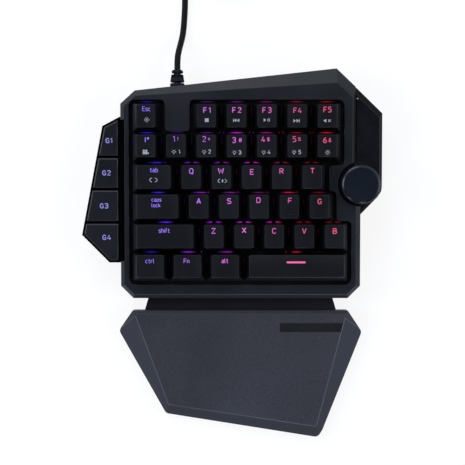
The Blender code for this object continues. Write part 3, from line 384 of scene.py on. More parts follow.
# Wrist rest's creases: a lighter copy of the same plastic, a painted highlight along the rounded creases.
restCreaseHighlightAbs = texturedAbs("rubbedAbsCrease", "#4c505a", "#5c606a", 0.40, 0.5, 0.4, 0.00001, 0.3)
# Wrist rest's inlay: smooth dark film, flush with the textured plastic round it.
bandAbs = texturedAbs("smoothDarkInlay", "#14151c", "#191a21", 0.42, 0.3, 0.4, 0.00001, 0.3)
# Wrist rest's base and tongue: plain ABS, a touch bluer than the case's inner parts.
tongueAbs = texturedAbs("plainAbsTongue", "#0f141b", "#161c25", 0.50, 0.3, 0.4)
# Case's bevels: a copy of the deck's plastic a step darker, painted shade on bevels that face away from the
# lamps.
bevelShadeAbs = texturedAbs("fineAbsBevel", "#080b10", "#0e1218", 0.50, 0.25, 0.3, 0.00002, 0.4)
# Case's front corners: a light grey copy of the bevels' plastic, painted light from the front lamps.
cornerLightAbs = texturedAbs("rubbedAbsCorner", "#363940", "#3f4249", 0.42, 0.4, 0.3, 0.00001, 0.3)
# Case's front crease: the rounded line between deck and bevel, in a lighter painted highlight.
caseCreaseHighlightAbs = texturedAbs("rubbedAbsCaseCrease", "#373a41", "#42454c", 0.40, 0.4, 0.3, 0.00001, 0.3)
# Trim's bevels and the step beside it: the darkest plastic of the case, a painted shade that takes little
# light.
shadeAbs = texturedAbs("draftAbsTrimBevel", "#040507", "#07090c", 0.50, 0.14, 0.3, 0.00001, 0.3)
# Trim's outer creases: the same painted highlight as the case's creases, kept darker beside the trim's gloss.
trimCreaseHighlightAbs = texturedAbs("rubbedAbsTrimCrease", "#16191e", "#1e2126", 0.40, 0.25, 0.3, 0.00001, 0.3)
# Inner and lower mouldings: plain black ABS, matt, with a dull bloom.
blackAbs = texturedAbs("plainAbsBlack", "#08090c", "#0e1014", 0.55, 0.3, 0.4)
# Macro tray: the same black, near black and dead matt, a painted shade so that the gap by the macro keys
# looks deep.
trayShadeAbs = texturedAbs("deadMattTray", "#010203", "#020304", 0.80, 0.02, 0.4)
# Macro keys: smooth moulded ABS, a touch glossier from fingers.
macroAbs = texturedAbs("smoothAbsMacroKey", "#0f131a", "#151a21", 0.40, 0.32, 0.3, 0.000015, 0.3)
# Knob: soft-touch coated ABS, dense and smooth with a bluish sheen.
knobCoat = texturedAbs("softTouchKnob", "#0e1520", "#131c29", 0.34, 0.4, 0.5, 0.00001, 0.25, ior=1.45)
# Knob's rim: the coat polished by fingertips, so that small lamps show in it as short bright arcs.
knobRim = texturedAbs("polishedKnobRim", "#0c121c", "#101823", 0.20, 0.35, 0.5, 0.000005, 0.1, ior=1.45)


def polishedAbs():
    # Piano-black ABS from a polished tool: a deep gloss with faint wiping marks
    made, tree, shader = newMaterial("polishedAbsTrim", {"IOR": 1.5, "Coat Weight": 0.3,
                                                         "Coat Roughness": 0.08})
    haze = addNoise(tree, 9, Detail=4.0)
    tree.links.new(addRamp(tree, haze, (0.3, "#0c0f14"), (0.7, "#12151b")), shader.inputs["Base Color"])
    tree.links.new(addRange(tree, haze, 0.16, 0.26, 0.3, 0.7), shader.inputs["Roughness"])
    return made


def mouldedRubber(name, colour, lighter, roughness):
    # Extruded or moulded thermoplastic rubber: dull, with a faint dusty bloom
    made, tree, shader = newMaterial(name, {"Roughness": roughness, "IOR": 1.5, "Specular IOR Level": 0.10})
    noise = grainBump(tree, shader, 0.5, 0.00003, 0.4)
    tree.links.new(addRamp(tree, noise, (0.3, colour), (0.75, lighter)), shader.inputs["Base Color"])
    return made


def platedSteel(name, dark, light, roughness):
    # Plated pressed or turned steel: bright, with a fine broken sheen
    made, tree, shader = newMaterial(name, {"Metallic": 1.0})
    noise = addNoise(tree, 0.4, Detail=5.0, Distortion=0.4)
    tree.links.new(addRamp(tree, noise, (0.25, dark), (0.75, light)), shader.inputs["Base Color"])
    tree.links.new(addRange(tree, noise, roughness - 0.06, roughness + 0.08), shader.inputs["Roughness"])
    return made


def boardLaminate():
    # Glass-epoxy laminate under green solder mask, whose weave just shows through
    made, tree, shader = newMaterial("solderMaskLaminate", {"Roughness": 0.35, "IOR": 1.5})
    weave = addNode(tree, "TexChecker", {"Scale": 1000 / 1.2, "Color1": toLinear("#0d3a22"),
                                         "Color2": toLinear("#11432a")}, {"Vector": objectPlace(tree)})
    tree.links.new(weave.outputs["Color"], shader.inputs["Base Color"])
    return made


def printedInk():
    # Pad-printed grey ink, a hair thick, slightly worn by use
    made, tree, shader = newMaterial("padPrintedInk", {"Roughness": 0.6, "IOR": 1.5})
    noise = addNoise(tree, 0.8, Detail=2.0)
    tree.links.new(addRamp(tree, noise, (0.3, "#9a9ca6"), (0.7, "#b6b8c2")), shader.inputs["Base Color"])
    return made


trimGloss = polishedAbs()
cordRubber = mouldedRubber("extrudedRubberCord", "#07090c", "#0d1014", 0.55)
reliefRubber = mouldedRubber("mouldedRubberRelief", "#10141a", "#171c24", 0.6)
footRubber = mouldedRubber("mouldedRubberFoot", "#17181a", "#232426", 0.8)
nickelSteel = platedSteel("nickelPlatedSteel", "#9c9a96", "#c9c7c2", 0.28)
blackSteel = platedSteel("blackZincSteel", "#24252a", "#3a3b40", 0.38)
boardGreen = boardLaminate()
greyInk = printedInk()

glow = {
    "left": -0.0720, "right": 0.0800,
    "legend": ((0.0, "#8872f0"), (0.14, "#8b73f0"), (0.30, "#b46ce8"), (0.42, "#da70ea"), (0.55, "#da66c8"),
               (0.70, "#d25899"), (0.84, "#dc567e"), (1.0, "#e0566e")),
    "bar": ((0.0, "#2412c8"), (0.14, "#3f1cd8"), (0.22, "#5a1ad8"), (0.30, "#8a1cc8"), (0.42, "#9c1cc4"),
            (0.54, "#b41cb8"), (0.64, "#bc169c"), (0.69, "#bc1048"), (0.80, "#ac1020"), (1.0, "#a41018")),
    "macro": ((0.0, "#968ee0"), (1.0, "#968ee0")),
}


def lightShade(name, stops, base):
    # Light seen through clear plastic: violet at the left, magenta in the middle, red at the right.
    # The mesh's own level says how much light each part lets through.
    made, tree, shader = newMaterial(name, {"Base Color": toLinear(base), "Roughness": 0.5,
                                            "Specular IOR Level": 0.1, "Emission Strength": 1.0})
    split = addNode(tree, "SeparateXYZ", links={"Vector": objectPlace(tree)})
    across = addRange(tree, split.outputs["X"], 0.0, 1.0, glow["left"], glow["right"])
    level = addNode(tree, "Attribute", attribute_name="level", attribute_type="GEOMETRY")
    lit = multiplied(tree, addRamp(tree, across, *stops), level.outputs["Color"])
    tree.links.new(lit, shader.inputs["Emission Color"])
    return made


def setLevels(data, levels):
    layer = data.color_attributes.new("level", "FLOAT_COLOR", "POINT")
    for item, level in zip(layer.data, levels):
        item.color = (level, level, level, 1)


legendLight = lightShade("litLegendPolycarbonate", glow["legend"], "#0c0a10")
barLight = lightShade("keyLightSpill", glow["bar"], "#08060c")
macroLight = lightShade("litMacroLegend", glow["macro"], "#1a1420")
print("materials made")


# Cord, coil, plug and tie

cord = {
    "diameter": 0.0040, "spacing": 0.0045, "exit": (-0.0355, 0.11911, 0.0115), "gap": 0.0003,
    "end": (-0.0314, 0.2010),
    "points": (
        (-0.0352, 0.1285, 0.0100), (-0.0342, 0.1340, 0.0066), (-0.0331, 0.1390, 0.0037),
        (-0.0322, 0.1440, 0.0022), (-0.0316, 0.1500, 0.0020), (-0.0310, 0.1600, 0.0020),
        (-0.0309, 0.1720, 0.0020), (-0.0312, 0.1850, 0.0020),
    ),
    "coilRadius": 0.0280, "coilPitch": 0.0045, "turnsPerLayer": 2.75, "layers": 4, "pointsPerTurn": 28,
    "liftShare": 0.22, "tailRadius": 0.0140, "tailSteps": 8,
}


def smoothLine(points, spacing, perSpan=12):
    route = [Vector(point) for point in points]
    route = [2 * route[0] - route[1], *route, 2 * route[-1] - route[-2]]
    fine = []
    for a, b, c, d in zip(route, route[1:], route[2:], route[3:]):
        for step in range(perSpan):
            t = step / perSpan
            bow = (2 * a - 5 * b + 4 * c - d) * t**2 + (3 * b - a - 3 * c + d) * t**3
            fine.append((2 * b + (c - a) * t + bow) / 2)
    fine.append(route[-2])
    length = sum((b - a).length for a, b in zip(fine, fine[1:]))
    count = max(2, round(length / spacing))
    made, walked, target = [fine[0]], 0.0, length / count
    for a, b in zip(fine, fine[1:]):
        step = (b - a).length
        while walked + step >= target * len(made) and len(made) < count:
            made.append(a.lerp(b, (target * len(made) - walked) / step))
        walked += step
    return made + [fine[-1]]


def coilRoute():
    radius, pitch, floor = cord["coilRadius"], cord["coilPitch"], cord["diameter"] / 2
    middle = Vector((cord["end"][0] + radius, cord["end"][1] + cord["diameter"] + cord["gap"]))
    perLayer, turns = cord["turnsPerLayer"], cord["turnsPerLayer"] * cord["layers"]
    steps = round(turns * cord["pointsPerTurn"])
    points = []
    for step in range(steps + 1):  # layers on each other, wound inwards and outwards by turns
        turn = turns * step / steps
        layer = min(int(turn / perLayer), cord["layers"] - 1)
        inside = turn - layer * perLayer
        travelled = inside if layer % 2 == 0 else perLayer - inside
        height = sum(min(max((turn - k * perLayer) * 2 + 0.5, 0), 1) for k in range(1, cord["layers"]))
        angle = math.pi - 2 * math.pi * turn
        r = radius - pitch * travelled
        x, y = middle.x + r * math.cos(angle), middle.y + r * math.sin(angle)
        points.append(Vector((x, y, floor + height * pitch)))
    plugHeight = cord["diameter"] + (cord["layers"] - 1) * pitch + cord["gap"] + plug["thickness"] / 2
    liftSteps = round(cord["liftShare"] * cord["pointsPerTurn"])
    rise = plugHeight - points[-1].z
    bend = cord["tailRadius"] * math.pi / 2
    run = 2 * math.pi * radius * cord["liftShare"]

    def eased(share):
        return share * share * (3 - 2 * share)

    # The last part of the coil starts to climb, and a quarter bend over the coil ends the climb to the plug
    for step in range(liftSteps):
        points[-liftSteps + step].z += rise * eased((step + 1) / liftSteps * run / (run + bend / 2))
    last = points[-1]
    heading = (last - points[-2]).to_2d().normalized()
    inward = Vector((heading.y, -heading.x))
    hub = last.to_2d() + inward * cord["tailRadius"]
    base = points[steps - liftSteps].z
    for step in range(1, cord["tailSteps"] + 1):
        angle = math.pi / 2 * step / cord["tailSteps"]
        spot = hub + (heading * math.sin(angle) - inward * math.cos(angle)) * cord["tailRadius"]
        share = eased(min(1, (run + bend * step / cord["tailSteps"]) / (run + bend / 2)))
        points.append(Vector((spot.x, spot.y, base + rise * share)))
    return points, inward, middle


def buildCord():
    straight = (cord["exit"][0], cord["exit"][1] + cord["diameter"], cord["exit"][2])
    free = smoothLine([cord["exit"], straight, *cord["points"], (*cord["end"], cord["diameter"] / 2)],
                      cord["spacing"])
    wound, heading, middle = coilRoute()
    end = wound[-1] + Vector((heading.x, heading.y, 0)) * cord["diameter"]
    route = free + wound + [end]
    curve = bpy.data.curves.new("cord", "CURVE")
    curve.dimensions = "3D"
    curve.bevel_depth, curve.bevel_resolution, curve.use_fill_caps = cord["diameter"] / 2, 5, True
    spline = curve.splines.new("POLY")
    spline.points.add(len(route) - 1)
    for spot, point in zip(spline.points, route):
        spot.co = (*point, 1)
    spline.use_smooth = True
    piece = addPiece("cordLead", curve, cordRubber, "case", ("cord", "cord_coil"))
    length = sum((b - a).length for a, b in zip(route, route[1:]))
    print("cord length", round(length, 3))
    return piece, length, end, heading, middle


plug = {  # grip, pressed shell with two windows, and the contact tongue inside it
    "width": 0.0158, "thickness": 0.0082, "length": 0.0240, "collar": 0.0075, "corner": 0.0024, "grooves": 4,
    "shellWidth": 0.0120, "shellThickness": 0.0045, "shellLength": 0.0183, "shellCorner": 0.0006,
    "sheet": 0.0004, "windowSide": 0.0023, "windowPlace": 0.0082, "windowLength": 0.0024,
    "windowAcross": 0.0029, "inset": 0.0012, "tongueFoot": 0.0006, "tongueTop": 0.0024,
    "contactPitch": 0.0022, "contactHalf": 0.0005, "contactBack": 0.004, "contactFront": 0.002,
    "contactLift": 0.00015,
}


def buildPlug(end, heading):
    turn = Matrix.Translation(end) @ Matrix.Rotation(math.atan2(heading.y, heading.x), 4, "Z")

    def plugPiece(name, shape, material, sharp=30, stands=()):
        moved(shape, turn)
        return addPiece(name, closeMesh(name, shape, sharp), material, "case", stands)

    # Moulded grip: a swelling body, and a tapering collar with shallow grooves round the cord.
    # Each station is a place along it and the shares of its width and thickness.
    half, thick, length, collar = plug["width"] / 2, plug["thickness"] / 2, plug["length"], plug["collar"]
    stations = [(-0.0002, 0.30, 0.52), (0.0, 0.36, 0.60)]
    for k in range(plug["grooves"]):
        x, swell = collar * (k + 0.2) / plug["grooves"], 0.06 * k
        stations += [(x + step, wide + swell, tall + swell) for step, wide, tall in (
            (0, 0.40, 0.62), (0.0008, 0.40, 0.62), (0.0010, 0.35, 0.56), (0.0014, 0.35, 0.56))]
    stations += [(collar, 0.72, 0.86), (collar + 0.0012, 0.93, 0.97), (collar + 0.0026, 1, 1),
                 (length - 0.0012, 1, 1), (length - 0.0003, 0.97, 0.95), (length, 0.90, 0.86)]
    rings = []
    for x, wide, tall in stations:
        corner = min(plug["corner"], half * wide * 0.7, thick * tall * 0.7)
        outline = roundedRectangle(half * wide, thick * tall, corner, 2, 2, 4)
        rings.append([(x, p.x, p.y) for p in outline])
    grip = plugPiece("plugGrip", lofted(rings), cordRubber, 40, ("usb_plug",))

    # Pressed shell: a thin tube with rounded edges, open at the front
    wide, tall, sheet = plug["shellWidth"] / 2, plug["shellThickness"] / 2, plug["sheet"]
    front, outer = length + plug["shellLength"], plug["shellCorner"]
    inner = outer - sheet / 2
    rings = []
    for x, inset, corner in ((length - 0.001, 0, outer), (front - 0.0002, 0, outer), (front, 0.0001, outer),
                             (front, sheet, inner), (length + 0.0005, sheet, inner)):
        outline = roundedRectangle(wide - inset, tall - inset, corner, 2, 2, 3)
        rings.append([(x, p.x, p.y) for p in outline])
    shell = placed("plugShell", closeMesh("plugShell", lofted(rings)), nickelSteel)
    back, reach = length + plug["windowPlace"], plug["windowSide"] / 2
    windows = [((back, y - reach, -0.004), (back + plug["windowLength"], y + reach, 0.004))
               for y in (-plug["windowAcross"], plug["windowAcross"])]
    cutShape(shell, boxed(*windows))
    shell.data.transform(turn)
    given(shell, "case")

    # Contact tongue inside the shell, with its four contacts
    inset, top = plug["inset"], plug["tongueTop"] - tall
    low = (length - 0.0005, inset - wide, plug["tongueFoot"] - tall)
    shape = boxed((low, (front - inset, wide - inset, top)))
    bmesh.ops.bevel(shape, geom=shape.edges[:], offset=0.0001, segments=1, affect="EDGES")
    tongue = plugPiece("plugTongue", shape, blackAbs)
    back, far, reach = length + plug["contactBack"], front - plug["contactFront"], plug["contactHalf"]
    strips = [((back, y - reach, top - 0.00005), (far, y + reach, top + plug["contactLift"]))
              for y in ((k - 1.5) * plug["contactPitch"] for k in range(4))]
    return [grip, shell, tongue, plugPiece("plugContacts", boxed(*strips), nickelSteel)]


strap = {  # outside and inside: its two faces' distance from the coil's own section
    "halfWidth": 0.0045, "edge": 0.0003, "outside": 0.0007, "inside": -0.0004, "outerCorner": 0.0032,
    "innerCorner": 0.0026, "foot": 0.0006,
}


def buildTie(middle):
    # Hook-and-loop strap round all turns of the coil, on the side that faces the keypad
    inner = cord["coilRadius"] - cord["coilPitch"] * cord["turnsPerLayer"] - cord["diameter"] / 2
    outer = cord["coilRadius"] + cord["diameter"] / 2
    low, high = strap["foot"], cord["diameter"] + (cord["layers"] - 1) * cord["coilPitch"]
    centre = Vector((middle.x, middle.y - (inner + outer) / 2, (low + high) / 2))
    half, edge, outside, inside = (strap[size] for size in ("halfWidth", "edge", "outside", "inside"))
    rings = []
    for x, growth in ((-half, outside - edge), (edge - half, outside), (half - edge, outside),
                      (half, outside - edge), (half, inside), (-half, inside)):
        corner = strap["innerCorner"] if growth == inside else strap["outerCorner"]
        outline = roundedRectangle((outer - inner) / 2 + growth, (high - low) / 2 + growth, corner, 4, 4, 6)
        rings.append([centre + Vector((x, p.x, p.y)) for p in outline])
    shape = lofted(rings, wrap=True)
    for vert in shape.verts:  # the strap lies flat on the desk
        vert.co.z = max(vert.co.z, 0.0001)
    return addPiece("cordTie", closeMesh("cordTie", shape, 40), footRubber, "case")


cordPiece, cordLength, cordEnd, plugHeading, coilMiddle = buildCord()
plugPieces = buildPlug(cordEnd, plugHeading)
tie = buildTie(coilMiddle)
print("cord, plug and tie built")


# Rigid mouldings: the CAD's own shape with its edges broken, as a mould leaves them


def dressed(node, name, materials, body, width, segments=2, angle=14, paint=None, evened=(), clamp=True,
            cutter=None):
    # paint gives a face's material number from its direction, its place and whether it is on a broken edge.
    # The faces of a material in evened share one direction, as a moulded facet with a slight twist does.
    shape = bmesh.new()
    shape.from_mesh(frame["nodes"][node].data)
    bmesh.ops.remove_doubles(shape, verts=shape.verts[:], dist=1e-6)
    bmesh.ops.dissolve_limit(shape, angle_limit=math.radians(0.6), verts=shape.verts[:], edges=shape.edges[:],
                             delimit=set())
    data = bpy.data.meshes.new(name)
    shape.to_mesh(data)
    shape.free()
    piece = placed(name, data, materials)
    if cutter:
        cutShape(piece, cutter)
    step = piece.modifiers.new("brokenEdge", "BEVEL")
    step.width, step.segments, step.limit_method = width, segments, "ANGLE"
    step.angle_limit = math.radians(angle)
    step.miter_outer = "MITER_ARC"
    step.use_clamp_overlap = clamp
    step.material = 1 if paint else -1
    result = evaluatedMesh(piece)
    if paint:
        for face in result.polygons:
            face.material_index = paint(face.normal, face.center, face.material_index == 1)
    result.shade_smooth()
    result.set_sharp_from_angle(angle=math.radians(40))
    takeMesh(piece, result)
    step = piece.modifiers.new("flatFaces", "WEIGHTED_NORMAL")  # keeps large faces flat beside rounded edges
    step.weight, step.keep_sharp = 100, True
    if evened:
        flat = evaluatedMesh(piece)
        directions = [Vector(corner.vector) for corner in flat.corner_normals]
        for number in evened:
            faces = [face for face in flat.polygons if face.material_index == number]
            whole = sum((face.normal * face.area for face in faces), Vector()).normalized()
            for face in faces:
                for corner in face.loop_indices:
                    directions[corner] = whole
        flat.normals_split_custom_set(directions)
        takeMesh(piece, flat)
    return given(piece, body, (node,))


screw = {
    "steps": 24, "headRadius": 0.0027, "headHeight": 0.0009, "pocketRadius": 0.0031, "caseDepth": 0.0013,
    "restDepth": 0.0012, "underside": 0.0015, "slotWidth": 0.0006, "slotLength": 0.0030,
    "slotDepth": 0.0005,
    "case": ((-0.0350, -0.0206), (0.0, -0.0206), (0.0455, -0.0206), (-0.0544, 0.0859), (0.0474, 0.0859)),
    "rest": ((-0.0500, -0.0480), (0.0600, -0.0500), (-0.0300, -0.0930), (0.0430, -0.1010)),
}


def screwPockets(kind):
    shape = bmesh.new()
    for x, y in screw[kind]:
        outline = disc(x, y, screw["pocketRadius"], screw["steps"])
        loftRings(shape, [[(px, py, z) for px, py in outline]
                          for z in (-0.001, screw["underside"] + screw[kind + "Depth"])])
    return shape


def buildScrews(kind, body):
    # Pan-head screws with a cross recess, sunk in their pockets
    top = screw["underside"] + screw[kind + "Depth"] - 0.0001
    radius, height = screw["headRadius"], screw["headHeight"]
    low, high = top - height - 0.001, top - height + screw["slotDepth"]
    half, reach = screw["slotWidth"] / 2, screw["slotLength"] / 2
    for number, (x, y) in enumerate(screw[kind], 1):
        rings = []
        for share, fall in ((1, 0), (1, 0.4), (0.9, 0.8), (0.6, 1)):
            outline = disc(x, y, share * radius, screw["steps"])
            rings.append([(px, py, top - fall * height) for px, py in outline])
        name = f"{kind}Screw{number}"
        piece = placed(name, closeMesh(name, lofted(rings), 40), blackSteel)
        for across, along in ((half, reach), (reach, half)):
            cutShape(piece, boxed(((x - across, y - along, low), (x + across, y + along, high))))
        given(piece, body)


highlightReach = {  # where the creases carry a painted highlight, and how far these face up
    "deckEnd": -0.0250, "deckLift": 0.88, "trimStart": 0.081, "trimLift": 0.85, "restEnd": -0.0415,
    "restHeight": 0.0083, "restLift": 0.72,
}


def sloping(direction):  # neither a level top nor an upright wall
    return 0.2 <= direction.z <= 0.985


def paintDeck(direction, spot, broken):
    # 1 front crease: highlight, 2 front corners: light, 3 side and front bevels, 4 step to the trim: shade,
    #                 all painted
    if broken:
        return 1 if spot.y < highlightReach["deckEnd"] and direction.z > highlightReach["deckLift"] else 0
    if sloping(direction):
        if direction.y < -0.2:
            return 2 if abs(direction.x) > 0.15 else 3
        if abs(direction.x) > 0.3 and abs(direction.y) < 0.1:
            return 4 if direction.x > 0.7 else 3
    return 0


# 1 gets a painted highlight and 2 painted shade
def paintTrim(direction, spot, broken):  # 1 outer creases, 2 outer bevels
    if broken:
        return 1 if spot.x > highlightReach["trimStart"] and direction.z > highlightReach["trimLift"] else 0
    return 2 if sloping(direction) and direction.x > 0.1 else 0


# 1 gets the painted crease highlight, and 5 the rear facet's painted shade
def paintRest(direction, spot, broken):  # 1 creases, 2 left, 3 right, 4 front, 5 rear facet
    if broken:
        high = spot.z > highlightReach["restHeight"] and direction.z > highlightReach["restLift"]
        return 1 if high and spot.y < highlightReach["restEnd"] else 0
    if not sloping(direction):
        return 0
    if abs(direction.x) > 0.3:
        return 2 if direction.x < 0 else 3
    return 4 if direction.y < 0 else 5


dressed("top_case", "deckMoulding", (caseAbs, caseCreaseHighlightAbs, cornerLightAbs, bevelShadeAbs, shadeAbs), "case",
        0.00028, paint=paintDeck, clamp=False)
dressed("bottom_case", "tubMoulding", blackAbs, "case", 0.00030, cutter=screwPockets("case"))
dressed("macro_tray", "macroTrayMoulding", trayShadeAbs, "case", 0.00020)
dressed("side_trim", "glossTrim", (trimGloss, trimCreaseHighlightAbs, shadeAbs), "case", 0.00022,
        paint=paintTrim, clamp=False)
dressed("wrist_rest_shell", "restShell", (restAbs, restCreaseHighlightAbs, facetAbs, facetAbs, facetAbs, rearShadeAbs),
        "wrist_rest", 0.00028, 3, 22, paint=paintRest, evened=(2, 3, 4), clamp=False)
dressed("wrist_rest_base", "restBase", tongueAbs, "wrist_rest", 0.00030,
        cutter=screwPockets("rest"))
buildScrews("case", "case")
buildScrews("rest", "wrist_rest")
dressed("switch_bank", "switchHousings", blackAbs, "case", 0.00012, 1)
for corner in ("front_left", "front_right", "rear_left", "rear_right"):
    dressed("foot_" + corner, "pad_" + corner, footRubber, "case", 0.0004)
dressed("wrist_rest_foot", "restPad", footRubber, "wrist_rest", 0.0004)
for number in range(1, 5):
    node = f"macro_key_{number}"
    dressed(node, f"macroCap{number}", macroAbs, node, 0.00022)
for node, material in (("circuit_board", boardGreen), ("encoder_body", blackAbs),
                       ("encoder_nut", nickelSteel), ("encoder_shaft", nickelSteel)):
    frame["nodes"][node].data.materials.clear()
    frame["nodes"][node].data.materials.append(material)


def upperFace(node):  # a function that gives the height of a CAD node's upper face
    source = frame["nodes"][node]
    spots = [source.matrix_world @ vert.co for vert in source.data.vertices]
    tree = BVHTree.FromPolygons(spots, [tuple(face.vertices) for face in source.data.polygons])
    return lambda x, y: tree.ray_cast(Vector((x, y, 0.2)), Vector((0, 0, -1)))[0].z


band = {  # smooth dark inlay of the wrist rest, cut off along the right crease
    "corners": ((0.0306, -0.0504), (0.0698, -0.0504), (0.0712, -0.0447), (0.0306, -0.0447)),
    "lifts": (0.00002, 0.00012),
}


def buildBand():
    height = upperFace("wrist_rest_shell")
    rings = [[(x, y, height(x, y) + lift) for x, y in band["corners"]] for lift in band["lifts"]]
    addPiece("restBand", closeMesh("restBand", lofted(rings)), bandAbs, "wrist_rest")


buildBand()

indicator = {
    "place": (0.0797, 0.0988), "halfWidth": 0.00055, "halfDepth": 0.00030, "corner": 0.00028,
    "lifts": (-0.0002, 0.0001),
}


def buildIndicator():
    # Small pale lens of the charge lamp, set in the trim's rear corner
    x, y = indicator["place"]
    height = upperFace("side_trim")(x, y)
    outline = roundedRectangle(indicator["halfWidth"], indicator["halfDepth"], indicator["corner"], 2, 2, 4)
    rings = [[(x + p.x, y + p.y, height + lift) for p in outline] for lift in indicator["lifts"]]
    addPiece("indicatorLens", closeMesh("indicatorLens", lofted(rings)), greyInk, "case")


buildIndicator()

knob = {
    "place": (0.0814, 0.0443), "radius": 0.0123, "top": 0.0085, "middle": 0.0004, "shoulder": 0.0018,
    "rim": ((-0.0016, -0.00002), (-0.0013, -0.00008), (-0.0003, -0.00062), (-0.0001, -0.00085), (0, -0.0012)),
    "polishedHeight": 0.0012, "polishedWidth": 0.0014, "foot": -0.0023, "wall": 0.0020, "chamfer": 0.0003,
    "ceiling": 0.0059, "hub": 0.0050, "hubEnd": 0.0012, "bore": 0.0033, "grooves": 60, "grooveDepth": 0.00022,
    "grooveTop": 0.0066, "grooveFoot": -0.0012, "dishDepth": 0.00025,
}


def buildKnob():
    # Turned shape with a rounded rim, a shallow dish on top and fine grip grooves down the side
    r, top, dish, step = knob["radius"], knob["top"], knob["dishDepth"], knob["chamfer"]
    high, low, foot, inside = knob["grooveTop"], knob["grooveFoot"], knob["foot"], r - knob["wall"]
    profile = [(knob["middle"], top - dish), (r * 0.5, top - dish * 0.75),
               (r - knob["shoulder"], top - dish * 0.12)]
    profile += [(r + across, top + up) for across, up in knob["rim"]]
    profile += [(r, high + step), (r, high), (r, low), (r, low - step), (r, foot + step), (r - step, foot),
                (inside, foot), (inside, knob["ceiling"]), (knob["hub"], knob["ceiling"]),
                (knob["hub"], knob["hubEnd"]), (knob["bore"], knob["hubEnd"]),
                (knob["bore"], knob["ceiling"]), (knob["middle"], knob["ceiling"])]

    def grooved(radius, height, angle):
        if radius < r - 1e-6 or not low - 1e-6 <= height <= high + 1e-6:
            return radius
        return radius - knob["grooveDepth"] * max(0.0, math.cos(knob["grooves"] * angle))

    shape = bmesh.new()
    lathe(shape, profile, knob["grooves"] * 4, grooved)
    for face in shape.faces:
        middle = face.calc_center_median()
        face.material_index = int(middle.z > top - knob["polishedHeight"]
                                  and math.hypot(middle.x, middle.y) > r - knob["polishedWidth"])
    moved(shape, onDeck(*knob["place"]))
    data = closeMesh("knobCap", shape, 35)
    addPiece("knobCap", data, (knobCoat, knobRim), "knob", ("knob",))


buildKnob()

relief = {
    "x": -0.0355, "wall": 0.1062, "z": 0.0115, "heightShare": 0.92, "corner": 0.0020,
    "stations": (  # place behind the wall and half width: flange, neck, block, neck and last rib
        (0.0000, 0.0029), (0.0006, 0.0029), (0.0007, 0.0043), (0.0010, 0.0046), (0.0033, 0.0046),
        (0.0036, 0.0043), (0.0037, 0.0022), (0.0045, 0.0022), (0.0046, 0.0041), (0.0049, 0.0045),
        (0.0089, 0.0039), (0.0093, 0.0036), (0.0094, 0.0022), (0.0102, 0.0022), (0.0103, 0.0031),
        (0.0107, 0.0036), (0.0113, 0.0037), (0.0120, 0.0033), (0.0125, 0.0026), (0.0126, 0.0022),
    ),
    "spineWidth": 0.0018, "spineTop": 0.0033, "hollow": (0.0073, 0.0087), "hollowHalf": 0.0031,
    "hollowFloor": 0.0024,
}


def buildRelief():
    # Moulded rubber ribs that let the cord bend, joined by a spine along the top
    x, wall, z = relief["x"], relief["wall"], relief["z"]
    rings = []
    for along, half in relief["stations"]:
        corner = min(relief["corner"], half * 0.9)
        outline = roundedRectangle(half, half * relief["heightShare"], corner, 2, 2, 6)
        rings.append([(x + p.x, wall + along, z + p.y) for p in outline])
    data = closeMesh("cordRelief", lofted(rings), 50)
    piece = addPiece("cordRelief", data, reliefRubber, "case", ("strain_relief",))
    half, (near, far) = relief["hollowHalf"], relief["hollow"]
    low = (x - half, wall + near, z + relief["hollowFloor"])
    cutShape(piece, boxed((low, (x + half, wall + far, z + 0.01))))
    half, near, far = relief["spineWidth"] / 2, relief["stations"][3][0], relief["stations"][-4][0]
    shape = boxed(((x - half, wall + near, z), (x + half, wall + far, z + relief["spineTop"])))
    bmesh.ops.bevel(shape, geom=shape.edges[:], offset=0.0004, segments=2, affect="EDGES")
    addPiece("reliefSpine", closeMesh("reliefSpine", shape, 50), reliefRubber, "case")


buildRelief()
print("mouldings dressed")


# Keycaps

block = {"pitch": 0.01905, "left": -0.06395, "rear": 0.0962}
cap = {  # what differs from row to row is listed from the rear
    "gap": 0.00095, "sideSlopes": (0.0030, 0.0030, 0.0030, 0.0030, 0.0030, 0.0027), "height": 0.0088,
    "sink": 0.0015, "wall": 0.0011, "roof": 0.0016, "topCorner": 0.0013, "baseCorner": 0.0011,
    "fillet": 0.00042, "frontSlopes": (0.00265, 0.0031, 0.00215, 0.0024, 0.00265, 0.0029),
    "rearSlopes": (0.0011, 0.00085, 0.0011, 0.0006, 0.0006, 0.00075), "dish": 0.00055, "dishReach": 0.0064,
    "crown": 0.0007, "crownInset": 0.0018, "frontShares": (0.97, 0.97, 0.93, 0.93, 0.98, 1.00),
    "rearShares": (1.14, 1.14, 1.02, 0.95, 0.93, 0.93), "sliderWidth": 0.0070, "sliderDepth": 0.0056,
    "sliderEnd": -0.0028, "stemWidth": 0.0040,
}
keyRows = (  # name, place from the left and width in key pitches
    (("esc", 0, 1), ("f1", 2, 1), ("f2", 3, 1), ("f3", 4, 1), ("f4", 5, 1), ("f5", 6, 1)),
    (("bar", 0, 1), ("1", 1, 1), ("2", 2, 1), ("3", 3, 1), ("4", 4, 1), ("5", 5, 1), ("6", 6, 1)),
    (("tab", 0, 1.5), ("q", 1.5, 1), ("w", 2.5, 1), ("e", 3.5, 1), ("r", 4.5, 1), ("t", 5.5, 1)),
    (("caps", 0, 1.75), ("a", 1.75, 1), ("s", 2.75, 1), ("d", 3.75, 1), ("f", 4.75, 1), ("g", 5.75, 1)),
    (("shift", 0, 2.25), ("z", 2.25, 1), ("x", 3.25, 1), ("c", 4.25, 1), ("v", 5.25, 1), ("b", 6.25, 1)),
    (("ctrl", 0, 1.25), ("fn", 1.25, 1.25), ("alt", 2.5, 1.25), ("space", 3.75, 3.5)),
)
stabilisers = {"shift": 0.0119, "space": 0.01905}
homing = {  # the small bar on f
    "key": "f", "halfWidth": 0.0019, "halfDepth": 0.00055, "corner": 0.0002, "back": -0.0052,
    "steps": ((-0.0002, 0), (0.00022, 0.0001), (0.00034, 0.00026)),
}


